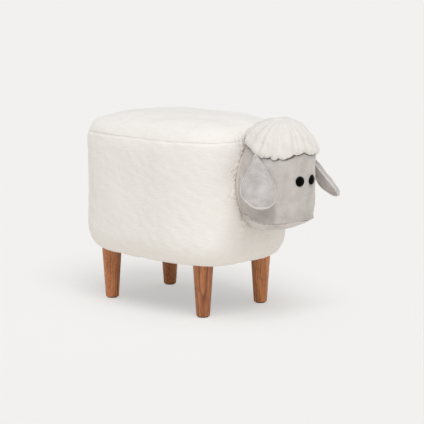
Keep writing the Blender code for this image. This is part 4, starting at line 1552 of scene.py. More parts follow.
@dataclass
class HeadForm:
    """The stuffed head: a round face in front, and sides that run back to the body's neck."""

    body: BodyForm
    half_width: float
    face: float
    top: float
    chin_seam: float
    chin: float
    face_depth: float = 0.0607
    crown_depth: float = 0.0462
    neck_half_width: float = 0.0653
    neck_half_height: float = 0.0941
    neck_drop: float = 0.1142
    neck_least_share: float = 0.3
    neck_power: float = 3.0
    head_middle: float = 0.056
    chin_back: float = 0.0153
    chin_power: float = 2.3

    @classmethod
    def from_frame(cls, body: BodyForm) -> "HeadForm":
        """Read the head cover's and the chin panel's sizes in the frame."""
        low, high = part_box("head_cover")
        return cls(body, high.x, low.y, high.z, low.z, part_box("chin_panel")[0].z)

    @property
    def axis(self) -> float:
        """The y of the head's upright axis."""
        return self.face + self.face_depth

    @property
    def neck_height(self) -> float:
        """The height of the neck's middle."""
        return self.body.shoulder - self.neck_drop

    @property
    def chin_y(self) -> float:
        """The y of the chin's lowest point."""
        return self.body.middle - self.body.half_length - self.chin_back

    def scale(self, height: Array, outset: float = 0.0) -> Array:
        """The share of the full plan at a height."""
        rise = (height - (self.top - self.crown_depth)) / (self.crown_depth + outset)
        return np.sqrt(np.clip(1 - np.clip(rise, 0, None) ** 2, 0, None))

    def reach(self, height: Array) -> Array:
        """How far back the plan reaches at a height.

        Args:
            height: Heights.

        Returns:
            Distances from the head's axis.
        """
        lift = np.clip(np.abs(height - self.neck_height) / self.neck_half_height, 0, 1)
        meeting = self.neck_half_width * np.maximum(self.neck_least_share, np.sqrt(1 - lift**2))
        narrowing = 1 - (meeting / self.half_width) ** self.neck_power
        return self.head_middle / narrowing ** (1 / self.neck_power)

    def ring(self, turns: Array, height: float, outset: float = 0.0) -> Array:
        """The head's plan at a height.

        Args:
            turns: Places round it, in radians.
            height: Its height.
            outset: How far outside the form it is.

        Returns:
            The ring's points.
        """
        heights = np.full_like(turns, height)
        across, along = np.cos(turns), np.sin(turns)
        rear = along > 0
        scale = self.scale(heights, outset)
        x_rear = signed_power(across, 2 / self.neck_power)
        y_rear = signed_power(along, 2 / self.neck_power) * (self.reach(heights) + outset)
        x = (self.half_width + outset) * scale * np.where(rear, x_rear, across)
        y = scale * np.where(rear, y_rear, along * (self.face_depth + outset))
        return np.stack([x, y + self.axis, heights], axis=1)

    def chin_ring(self, turns: Array, share: float, outset: float = 0.0) -> Array:
        """A ring of the chin's belly, from its lowest point at 0 to the seam at 1.

        Args:
            turns: Places round it, in radians.
            share: Its place, from 0 to 1.
            outset: How far outside the form it is.

        Returns:
            The ring's points.
        """
        seam = self.ring(turns, self.chin_seam, outset)
        lowest = np.array([0, self.chin_y, self.chin])
        ring = lowest + (seam - lowest) * share
        depth = self.chin_seam - self.chin + outset
        ring[:, 2] = self.chin_seam - depth * (1 - share**self.chin_power)
        return ring

    def inside(self, points: Array) -> Array:
        """Whether points lie in the head's form.

        Args:
            points: Places in the scene.

        Returns:
            True for each point inside.
        """
        x, y, height = points[:, 0], points[:, 1], points[:, 2]
        depth = self.chin_seam - self.chin
        drop = np.clip((self.chin_seam - height) / depth, 0, 1)
        share = np.maximum((1 - drop) ** (1 / self.chin_power), BARE)
        flat_x = x / share
        flat_y = self.chin_y + (y - self.chin_y) / share
        level = np.maximum(height, self.chin_seam)
        scale = np.maximum(self.scale(level), BARE)
        along = (flat_y - self.axis) / scale
        across = np.abs(flat_x) / scale / self.half_width
        rear = along > 0
        power = np.where(rear, self.neck_power, 2.0)
        far = np.where(rear, self.reach(level), self.face_depth)
        total = across**power + (np.abs(along) / far) ** power
        return (total < 1) & (height > self.chin) & (height < self.top)

    def neck_line(self, count: int = 240) -> NeckLine:
        """Find where the head meets the body's front.

        Args:
            count: How many points it has.

        Returns:
            The line.
        """
        turns = np.arange(count) / count * math.tau
        low = np.full(count, 0.02)
        high = np.full(count, 0.16)
        for _ in range(40):
            reach = (low + high) / 2
            points = self._on_front(turns, reach)
            inside = self.inside(points)
            low = np.where(inside, reach, low)
            high = np.where(inside, high, reach)
        return NeckLine(turns, low, self.neck_height, self._on_front(turns, low))

    def _on_front(self, turns: Array, reach: Array) -> Array:
        """Points of the body's front at turns and reaches about the neck's middle.

        Args:
            turns: Directions.
            reach: Distances.

        Returns:
            The points.
        """
        x = reach * np.cos(turns)
        height = self.neck_height + reach * np.sin(turns)
        return np.stack([x, self.body.front(x, height), height], axis=1)


@dataclass
class Head:
    """Head cover, chin panel, edging round the neck, eyes and stuffing."""

    form: HeadForm
    neck: NeckLine
    cap: "WoolCap"
    columns: int = 200
    side_rows: int = 56
    seam_rows: int = 30
    seam_reach: float = 0.016
    crown_rows: int = 18
    chin_rows: int = 44
    thickness: float = 0.0018
    seam_depth: float = 0.0016
    seam_width: float = 0.003
    swell_depth: float = 0.0007
    swell_length: float = 0.045
    crease_depth: float = 0.0009
    crease_y: float = -0.176
    crease_width: float = 0.0025
    crease_rise: float = 0.012
    crease_height: float = 0.014
    gather_share: float = 0.35
    gather_height: float = 0.011
    gather_length: float = 0.0026
    gather_drift: Wave = Wave(1.3, 0.011)
    stitch_length: float = 0.0021
    stitch_drift: Wave = Wave(1.8, 0.0137)
    # Painted shade on the lower head above the chin seam, more towards the neck.
    side_low_painted_shade: float = 0.16
    # Painted shade standing in for each hanging ear's shadow on the head's side, with a sharp front edge.
    painted_ear_shadow_share: float = 0.24
    painted_ear_shadow_front: float = -0.236
    painted_ear_shadow_height: float = 0.252
    painted_ear_shadow_edge: float = 0.007
    painted_ear_shadow_top: float = 0.02
    painted_ear_shadow_reach: float = 0.024
    painted_ear_shadow_least: float = 0.1
    # Painted shade over the middle of the face, stronger lower down.
    painted_face_shade_share: float = 0.07
    painted_face_shade_height: float = 0.06
    painted_face_shade_low: float = 0.7
    # Painted light: the chin panel below its seam is painted lighter.
    chin_painted_light: float = 0.2
    covered_draw: float = 0.0014
    # Painted shadow in a dark line just below the cap's edge, and a softer painted shade further below.
    cap_painted_shadow: float = 0.85
    cap_painted_shade_below: float = 0.14
    seam_dip: float = 0.005
    seam_rise: float = 0.014
    seam_rise_start: float = 1.5
    seam_rise_width: float = 0.65
    edging_radius: float = 0.003
    edging_top_drop: float = 0.046
    edging_out: float = 0.0006
    edging_sides: int = 14
    eye_spread: float = 0.0174
    eye_drop: float = 0.1044
    eye_radius: float = 0.0101
    eye_dome: float = 0.0047
    eye_rim: float = 0.0008
    eye_dimple: float = 0.001
    eye_dimple_width: float = 0.0125
    eye_sink: float = 0.002
    eye_sides: int = 72
    face_swell: float = 0.002
    face_swell_height: float = 0.323
    jaw_draw: float = 0.0027
    core_draw: float = 0.0055

    def __post_init__(self) -> None:
        """Spread the columns round the head."""
        level = self.form.neck_height
        self.turns = even_turns(lambda t: self.form.ring(t, level), self.columns)

    def _face_fullness(self, points: Array) -> Array:
        """How much fuller than its plain form the face is: more at the brow, less at the jaw.

        Args:
            points: Places in the scene.

        Returns:
            A distance for each point.
        """
        ahead = np.clip((self.form.axis - points[..., 1]) / self.form.face_depth, 0, 1) ** 2
        brow = self.face_swell * bell(points[..., 2] - self.face_swell_height, 0.022)
        jaw = self.jaw_draw * bell(points[..., 2] - self.form.chin_seam, 0.02)
        return (brow - jaw) * ahead

    def _creases(self, points: Array) -> Array:
        """Soft upright creases in the sides of the jaw, and gathers above the chin seam.

        Args:
            points: Places in the scene.

        Returns:
            A distance for each point.
        """
        height = points[..., 2] - self.form.chin_seam
        along = points[..., 1]
        gathers = np.sin(along / self.gather_length + self.gather_drift.at(along) + np.sign(points[..., 0]))
        gathers = self.gather_share * gathers * bell(height, self.gather_height)
        beside = bell(along - self.crease_y, self.crease_width)
        return self.crease_depth * (gathers - beside * bell(height - self.crease_rise, self.crease_height))

    def _seam_off(self, points: Array) -> Array:
        """How far above the chin's seam points lie. It dips below the face and rises to the neck.

        Args:
            points: Places in the scene.

        Returns:
            A distance for each point.
        """
        turn = np.abs(np.arctan2(points[..., 0], self.form.axis - points[..., 1]))
        back = np.clip((turn - self.seam_rise_start) / self.seam_rise_width, 0, 1)
        rise = self.seam_rise * back**2 * (3 - 2 * back) - self.seam_dip
        return points[..., 2] - self.form.chin_seam - rise

    def _painted_head_shade(self, points: Array) -> Array:
        """Painted shade: each hanging ear's shadow painted on the side of the head behind it, with a sharp
        front edge, and painted shade over the middle of the face, stronger lower down.

        Args:
            points: Places in the scene.

        Returns:
            A shade for each point.
        """
        # Painted shadow of the hanging ear on the head's side.
        beside = np.clip((points[..., 1] - self.painted_ear_shadow_front) / self.painted_ear_shadow_edge, 0, 1)
        below = np.clip((self.painted_ear_shadow_height - points[..., 2]) / self.painted_ear_shadow_top, 0, 1)
        fade = bell(points[..., 1] - self.painted_ear_shadow_front, self.painted_ear_shadow_reach)
        fade = self.painted_ear_shadow_least + (1 - self.painted_ear_shadow_least) * fade
        # Painted shade over the middle of the face.
        ahead = np.clip((self.form.axis - points[..., 1]) / self.form.face_depth, 0, 1) ** 6
        low = np.clip((self.form.top - self.eye_drop - points[..., 2]) / self.painted_face_shade_height, 0, 1)
        painted_face_shade = self.painted_face_shade_share * ahead * (1 + self.painted_face_shade_low * low)
        return self.painted_ear_shadow_share * beside * below * fade + painted_face_shade

    def _seam(self, points: Array) -> tuple[Array, Array, Array]:
        """The seam over the chin: its depth, a painted highlight along it with the chin panel painted lighter
        below, and painted shade in dark marks along it and on the lower head, more towards the neck.

        Args:
            points: Places in the scene.

        Returns:
            The three values at each point.
        """
        off = self._seam_off(points)
        draw = -self.seam_depth * bell(off, self.seam_width)
        above = np.clip(1 + off / 0.003, 0, 1)
        # Painted highlight along the seam, and the chin panel painted lighter below it.
        edge = 0.5 * bell(off + 0.0012, 0.0012) + self.chin_painted_light * (1 - above)
        travel = np.arctan2(points[..., 0], self.form.axis - points[..., 1]) * self.form.half_width
        stitches = 0.5 + 0.5 * np.sin(travel / self.stitch_length + self.stitch_drift.at(travel))
        # Painted shade in short dark marks along the seam.
        shade = (0.35 + 0.5 * stitches**2) * bell(off - 0.0008, 0.001)
        back = np.clip((points[..., 1] - self.form.axis) / self.form.head_middle, 0, 1)
        # Painted shade on the lower head above the seam, more towards the neck.
        shade = shade + self.side_low_painted_shade * above * bell(off, 0.035) * (0.35 + 0.65 * back)
        return draw, edge, np.clip(shade, 0, 1)

    def _sculpt(self, grid: Array) -> tuple[Array, Array, Array]:
        """How far fullness, creases, seam and dimples stand out of a grid, with its painted highlight (edge)
        and painted shade (fold) marks.

        Args:
            grid: Its plain outer points.

        Returns:
            The three values at each point.
        """
        draw, edge, shade = self._seam(grid)
        swell = self.swell_depth * ripple(grid, self.swell_length, 31)
        dimple = np.zeros(grid.shape[:2])
        for sign in (1, -1):
            spot, _ = self.eye_place(sign)
            dimple -= self.eye_dimple * bell(np.linalg.norm(grid - spot, axis=2), self.eye_dimple_width)
        total = draw + swell + dimple + self._face_fullness(grid) + self._creases(grid)
        below = self.cap.below_edge(grid)
        total = np.where(below > 0, total, -self.covered_draw)
        # Painted shadow just below the cap's edge, and a softer painted shade further down.
        shade = shade + self.cap_painted_shadow * bell(below - 0.0012, 0.0022) + self.cap_painted_shade_below * bell(below, 0.009)
        shade = shade + self._painted_head_shade(grid)
        return smoothed(total, 2), edge, np.clip(shade, 0, 1)

    def _shell(self, name: str, grid: Array, end: PoleEnd) -> Mesh:
        """A velvet shell pressed against the body.

        Args:
            name: The mesh's name.
            grid: Its plain outer points.
            end: Which end closes over a pole.

        Returns:
            The mesh.
        """
        stand, edge, fold = self._sculpt(grid)
        outer = self.form.body.before(grid + normals(grid) * stand[..., None], GAP)
        inner = self.form.body.before(lining_side(grid, stand, self.thickness, 4), 3 * GAP)
        # The edge mark carries painted highlight, the fold mark painted shade.
        marks = {"edge": list(edge), "fold": list(fold)}
        return shell(name, list(outer), list(inner), marks, end)

    def cover_grid(self) -> Array:
        """The head cover's outside, from the chin seam to the crown.

        Returns:
            Rows of points, from below.
        """
        form = self.form
        crown_start = form.top - form.crown_depth
        near_seam = form.chin_seam + self.seam_reach
        heights = list(np.linspace(form.chin_seam, near_seam, self.seam_rows))
        heights += list(np.linspace(near_seam, crown_start, self.side_rows)[1:])
        for turn in np.linspace(0, QUARTER, self.crown_rows + 2)[1:-1]:
            heights.append(crown_start + form.crown_depth * math.sin(turn))
        return np.array([form.ring(self.turns, float(height)) for height in heights])

    def chin_grid(self) -> Array:
        """The chin panel's outside, from near its lowest point to the seam.

        Returns:
            Rows of points, from below.
        """
        shares = np.linspace(0, 1, self.chin_rows + 1)[1:]
        rows = [self.form.chin_ring(self.turns, 1 - (1 - float(share)) ** 1.6) for share in shares]
        grid = np.array(rows)
        grid[..., 2] -= GAP
        return grid

    def eye_place(self, sign: int) -> tuple[Vector, float]:
        """An eye's place on the face, and its turn.

        Args:
            sign: 1 for the left eye, -1 for the right.

        Returns:
            The place and the turn.
        """
        form = self.form
        share = self.eye_spread / form.half_width
        depth = math.sqrt(1 - share**2)
        spot = Vector((sign * self.eye_spread, form.axis - form.face_depth * depth, form.top - self.eye_drop))
        return spot, sign * math.atan2(share / form.half_width, depth / form.face_depth)

    def _core(self) -> None:
        """The stuffing, its skin drawn back behind the cover's seams and dips, its pockets as they are."""
        form = self.form
        mesh = frame["nodes"]["head_core"].data.copy()
        flat = np.empty(len(mesh.vertices) * 3, np.float32)
        mesh.vertices.foreach_get("co", flat)
        points = flat.reshape(-1, 3).astype(float)
        middle = np.zeros_like(points)
        middle[:, 1] = form.axis
        lowest = form.chin_seam + 4 * self.core_draw
        middle[:, 2] = np.clip(points[:, 2], lowest, form.top - form.crown_depth)
        out = points - middle
        out /= np.maximum(np.linalg.norm(out, axis=1, keepdims=True), BARE)
        skin = ~form.inside(points + out * 2 * self.thickness)
        points -= out * skin[:, None] * self.core_draw
        mesh.vertices.foreach_set("co", points.astype(np.float32).ravel())
        mesh.update()
        fit("head_core_filling", mesh, STUFFING, ["head_core"])

    def _eyes(self) -> None:
        """Two smooth domed eyes."""
        rim = GAP + self.eye_rim
        sunk = GAP - self.eye_sink
        profile = [(0.0, sunk), (self.eye_radius * 0.9, sunk), (self.eye_radius * 0.985, GAP)]
        for step in range(17):
            angle = QUARTER * step / 16
            radius = 0.0 if step == 16 else self.eye_radius * math.cos(angle)
            profile.append((radius, rim + self.eye_dome * math.sin(angle)))
        for side, sign in (("left", 1), ("right", -1)):
            spot, turn = self.eye_place(sign)
            mesh = turned("eye_dome_" + side, profile, self.eye_sides)
            fit("eye_dome_" + side, mesh, EYE_GLOSS, ["eye_" + side], spot=spot, turn=(QUARTER, 0, turn))
            dress("eye_washer_" + side, NYLON)

    def _edging(self) -> None:
        """The rolled edging along the neck's seam, open under the cap."""
        line = self.neck.points
        top = self.form.top - self.edging_top_drop
        shown = np.roll(line, -len(line) // 4, axis=0)
        shown = shown[shown[:, 2] < top]
        ways = np.gradient(shown, axis=0)
        ways /= np.linalg.norm(ways, axis=1, keepdims=True)
        out = np.cross(ways, np.array([0.0, 1.0, 0.0]))
        out /= np.linalg.norm(out, axis=1, keepdims=True)
        ahead = np.cross(out, ways)
        outward = (out * (shown - shown.mean(axis=0))).sum(1, keepdims=True) > 0
        centre = shown + self.edging_out * np.where(outward, out, -out)
        rows = []
        turns = np.arange(self.edging_sides) / self.edging_sides * math.tau
        for index, spot in enumerate(centre):
            end = min(index, len(centre) - 1 - index)
            radius = self.edging_radius * min(1.0, 0.45 + 0.18 * end)
            radius *= 1 + 0.06 * math.sin(index * 1.7) + 0.05 * math.sin(index * 0.61)
            ring = np.outer(np.cos(turns), out[index]) + np.outer(np.sin(turns), ahead[index])
            rows.append(spot + radius * ring)
        rows.insert(0, pole(rows[0]))
        rows.append(pole(rows[-1]))
        fit("neck_edging", lofted("neck_edging", rows, closed=False), EDGING, ["neck_welt"])

    def build(self) -> None:
        """Make and dress the head."""
        cover = self.cover_grid()
        held = np.zeros(cover.shape[:2])
        held[:2] = 1
        held[cover[..., 1] > self.form.body.front(cover[..., 0], cover[..., 2]) - 0.004] = 1
        held[self.cap.below_edge(cover) < 0] = 1
        cover = Swelling(most=0.0022, growth=0.012, spacing=0.006).swell(cover, held, capped=True)
        cover_mesh = self._shell("head_cover_velvet", cover, PoleEnd.LAST)
        fit("head_cover_velvet", cover_mesh, VELVET, ["head_cover"])
        chin_mesh = self._shell("chin_panel_velvet", self.chin_grid(), PoleEnd.FIRST)
        fit("chin_panel_velvet", chin_mesh, VELVET, ["chin_panel"])
        self._core()
        self._edging()
        self._eyes()


@dataclass(frozen=True)
class Scallop:
    """A wave of the cap's edge: the turn that it starts at, the edge's drop there, and how far it sags."""

    turn: float
    notch: float
    sag: float


@dataclass(frozen=True)
class Fold:
    """A long soft valley in the fleece, with a ridge beside it."""

    turn: float
    depth: float
    width: float
    lean: float = 0.0


SCALLOPS = (
    Scallop(8, 0.0000, 0.0022),
    Scallop(26, -0.0005, 0.0026),
    Scallop(48, 0.0002, 0.0024),
    Scallop(72, 0.0000, 0.0020),
    Scallop(98, 0.0002, 0.0022),
    Scallop(122, 0.0000, 0.0018),
    Scallop(144, 0.0000, 0.0015),
    Scallop(163, -0.0005, 0.0015),
    Scallop(177.5, -0.0013, 0.0028),
    Scallop(190, 0.0010, 0.0024),
    Scallop(202, 0.0006, 0.0055),
    Scallop(216, 0.0002, 0.0040),
    Scallop(231, 0.0022, 0.0022),
    Scallop(244.5, -0.0039, 0.0021),
    Scallop(256, -0.0048, 0.0008),
    Scallop(264, -0.0060, 0.0026),
    Scallop(280, -0.0022, 0.0030),
    Scallop(296, -0.0020, 0.0034),
    Scallop(309, 0.0004, 0.0042),
    Scallop(322, 0.0000, 0.0034),
    Scallop(337, -0.0010, 0.0026),
    Scallop(352, 0.0000, 0.0024),
)
FOLDS = (
    Fold(163, 0.0014, 0.0040, 0.10),
    Fold(182, 0.0020, 0.0032, 0.08),
    Fold(204, 0.0009, 0.0060, 0.03),
    Fold(224, 0.0007, 0.0050),
    Fold(242, 0.0021, 0.0034, -0.04),
    Fold(252, 0.0016, 0.0030, -0.07),
    Fold(267, 0.0021, 0.0036, -0.12),
    Fold(284, 0.0012, 0.0044, -0.12),
    Fold(301, 0.0017, 0.0038, -0.08),
    Fold(322, 0.0012, 0.0050),
    Fold(345, 0.0019, 0.0038, 0.06),
    Fold(10, 0.0012, 0.0046, 0.10),
    Fold(32, 0.0018, 0.0040),
    Fold(57, 0.0012, 0.0055, -0.05),
    Fold(84, 0.0018, 0.0044),
    Fold(112, 0.0012, 0.0050, 0.06),
    Fold(138, 0.0018, 0.0042),
)


@dataclass
class WoolCap:
    """The padded fleece cap: a dome with long folds and a rolled, scalloped edge."""

    head: HeadForm
    half_width: float
    front_depth: float
    edge: float
    top: float
    back: float = 0.0722
    plan_power: float = 2.1
    dome_power: float = 1.8
    rise: float = 0.037
    rise_start: float = 0.0053
    rise_power: float = 1.3
    columns: int = 360
    dome_rows: int = 60
    strand_depth: float = 0.00028
    strand_length: float = 0.007
    swell_depth: float = 0.0007
    swell_length: float = 0.03
    roll_height: float = 0.013
    roll_in: float = 0.0036
    lip: float = 0.0026
    lip_turns: tuple[float, ...] = (0.3, 0.7, 1.1, 1.4)
    # Painted highlight on the rolled lip.
    lip_painted_highlight: float = 0.3
    taper: float = 0.55
    ridge_share: float = 0.45
    ridge_off: float = 1.9
    # Painted shade in the folds' valleys.
    valley_shade: float = 300.0
    valley_share: float = 0.6
    lining_shares: tuple[float, ...] = (0.0, 0.12, 0.25, 0.4, 0.55, 0.7, 0.82, 0.92, 0.975)
    scallops: tuple[Scallop, ...] = SCALLOPS
    folds: tuple[Fold, ...] = FOLDS

    @classmethod
    def from_frame(cls, head: HeadForm) -> "WoolCap":
        """Read the cap's sizes in the frame."""
        low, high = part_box("wool_cap")
        return cls(head, high.x, head.axis - low.y, low.z, high.z)

    def __post_init__(self) -> None:
        """Spread the columns and lay out the scallops round them."""
        self.turns = even_turns(self._plan, self.columns)
        starts = np.radians([wave.turn for wave in self.scallops])
        self.starts = np.append(starts, starts[0] + math.tau)
        self.notches = np.array([wave.notch for wave in self.scallops] + [self.scallops[0].notch])
        self.sags = np.array([wave.sag for wave in self.scallops])

    def _plan(self, turns: Array) -> Array:
        """The cap's plan at its edge.

        Args:
            turns: Places round it, in radians.

        Returns:
            Places across and along, from the head's axis.
        """
        across, along = np.cos(turns), np.sin(turns)
        depth = np.where(along > 0, self.back, self.front_depth)
        x_share = signed_power(across, 2 / self.plan_power)
        return np.stack([self.half_width * x_share, signed_power(along, 2 / self.plan_power) * depth], axis=1)

    def _edge_height(self, turns: Array, y: Array) -> Array:
        """The scalloped edge's height round the cap.

        Args:
            turns: Places round it, in radians.
            y: Places along, from the head's axis.

        Returns:
            Heights.
        """
        back = np.clip((y + self.rise_start) / (self.back + self.rise_start), 0, None)
        wrapped = (turns - self.starts[0]) % math.tau + self.starts[0]
        which = np.clip(np.searchsorted(self.starts, wrapped, side="right") - 1, 0, len(self.scallops) - 1)
        across = (wrapped - self.starts[which]) / (self.starts[which + 1] - self.starts[which])
        notch = self.notches[which] * (1 - across) + self.notches[which + 1] * across
        sag = self.sags[which] * (4 * across * (1 - across)) ** 0.6
        return self.edge + self.rise * back**self.rise_power - notch - sag

    def below_edge(self, points: Array) -> Array:
        """How far below the cap's edge points of the head lie.

        Args:
            points: Places in the scene.

        Returns:
            A distance for each point.
        """
        along = points[..., 1] - self.head.axis
        turns = np.arctan2(along, points[..., 0]) % math.tau
        return self._edge_height(turns, along) - points[..., 2]

    def _relief(self, turns: Array, share: float) -> tuple[Array, Array]:
        """How far the folds draw the fleece in at a share of its height, and the painted shade in their
        valleys.

        Args:
            turns: Places round it, in radians.
            share: The share of its height.

        Returns:
            Distances and shades.
        """
        stand = np.zeros_like(turns)
        shade = np.zeros_like(turns)
        girth = self.half_width * (1 - self.taper * share)
        for fold in self.folds:
            off = turns - math.radians(fold.turn) - fold.lean * share
            off = ((off + math.pi) % math.tau - math.pi) * girth
            stand -= fold.depth * bell(off, fold.width)
            stand += self.ridge_share * fold.depth * bell(off - self.ridge_off * fold.width, fold.width)
            # Painted shade in the fold's valley.
            shade += self.valley_shade * fold.depth * bell(off, self.valley_share * fold.width)
        return stand, shade

    def outer_grid(self) -> tuple[Array, Array, Array]:
        """The dome's outside with its folds, a painted highlight along its lowest rows, and painted shade in
        the folds' valleys.

        Returns:
            The points, the painted highlight (edge) marks and the painted shade (fold) marks.
        """
        plan = self._plan(self.turns)
        edge = self._edge_height(self.turns, plan[:, 1])
        rows, reliefs, shades = [], [], []
        for share in np.linspace(0, 1, self.dome_rows + 1)[:-1] ** 0.9:
            scale = (1 - share**self.dome_power) ** (1 / self.dome_power)
            height = edge + (self.top - edge) * share
            low = np.clip(1 - (self.top - edge) * share / self.roll_height, 0, 1)
            scale = scale - self.roll_in / self.half_width * (1 - np.sqrt(1 - low**2.2))
            rows.append(np.stack([plan[:, 0] * scale, plan[:, 1] * scale + self.head.axis, height], axis=1))
            relief, shade = self._relief(self.turns, float(share))
            reliefs.append(relief)
            shades.append(shade)
        grid = np.array(rows)
        shares = np.linspace(0, 1, self.dome_rows)[:, None]
        fade = np.clip(1 - shares**2.2, 0, 1) * np.clip(0.5 + shares / 0.1, 0, 1)
        stand = np.array(reliefs) * fade
        stand += self.strand_depth * ripple(grid * np.array([1, 1, 0.2]), self.strand_length, 41) * fade
        stand += self.swell_depth * ripple(grid, self.swell_length, 42)
        # Painted shade in the folds' valleys.
        fold = np.clip(np.array(shades), 0, 0.5) * fade
        # Painted highlight along the cap's lowest rows.
        lift = np.clip(1 - shares / 0.05, 0, 1) * 0.6 * np.ones_like(fold)
        return grid + normals(grid) * stand[..., None], lift, fold

    def build(self) -> None:
        """Make and dress the cap."""
        outer, edge, fold = self.outer_grid()
        body = self.head.body
        axis = np.array([0, self.head.axis, 0])
        flat = outer[0] - axis
        reach = np.hypot(flat[:, 0], flat[:, 1])
        way = np.stack([flat[:, 0] / reach, flat[:, 1] / reach], axis=1)
        lip_rows = []
        for turn in self.lip_turns:
            row = outer[0].copy()
            pull = self.lip * (1 - math.cos(turn * 1.1))
            row[:, :2] -= way * pull
            row[:, 2] -= self.lip * 0.5 * math.sin(turn * 2.0)
            lip_rows.append(row)
        inner_rows = self._inner(outer[0], way)
        rows = [body.above(row, GAP) for row in inner_rows[::-1] + lip_rows[::-1] + list(outer)]
        rows.insert(0, pole(rows[0]))
        rows.append(pole(rows[-1]))
        lead = [np.zeros(len(row)) for row in rows[: 1 + len(inner_rows)]]
        # Painted highlight on the rolled lip; the lip has no painted shade.
        lip_painted_highlight = [np.full(self.columns, self.lip_painted_highlight) for _ in lip_rows]
        edges = lead + lip_painted_highlight + list(edge) + [np.zeros(1)]
        folds = lead + [np.zeros(self.columns) for _ in lip_rows] + list(fold) + [np.zeros(1)]
        mesh = lofted("wool_cap_fleece", rows, {"edge": edges, "fold": folds}, closed=False)
        fit("wool_cap_fleece", mesh, FLEECE, ["wool_cap"])

    def _inner(self, edge: Array, way: Array) -> Rows:
        """The cap's lining side, which hugs the head.

        Args:
            edge: The edge's points.
            way: Their directions from the axis.

        Returns:
            The rings.
        """
        head = self.head
        rows = []
        highest = head.top + 2 * GAP
        for share in self.lining_shares:
            height = edge[:, 2] + 0.001 + (highest - edge[:, 2] - 0.001) * share
            scale = np.maximum(head.scale(height, 2 * GAP), 0.02)
            rear = way[:, 1] > 0
            power = np.where(rear, head.neck_power, 2.0)
            far = np.where(rear, head.reach(height), head.face_depth) + 2 * GAP
            wide = head.half_width + 2 * GAP
            total = (np.abs(way[:, 0]) / wide) ** power + (np.abs(way[:, 1]) / far) ** power
            reach = scale / total ** (1 / power)
            rows.append(np.stack([way[:, 0] * reach, way[:, 1] * reach + head.axis, height], axis=1))
        return rows


@dataclass(frozen=True)
class EarEdge:
    """One edge of an ear's outline: how wide it is, how fast it widens, and how blunt its tip is."""

    width: float
    root_power: float
    tip_power: float

    def at(self, share: Array) -> Array:
        """How far out the edge lies at a share of the ear's length."""
        share = np.clip(share, 0, 1)
        return self.width * share**self.root_power * (1 - share) ** self.tip_power


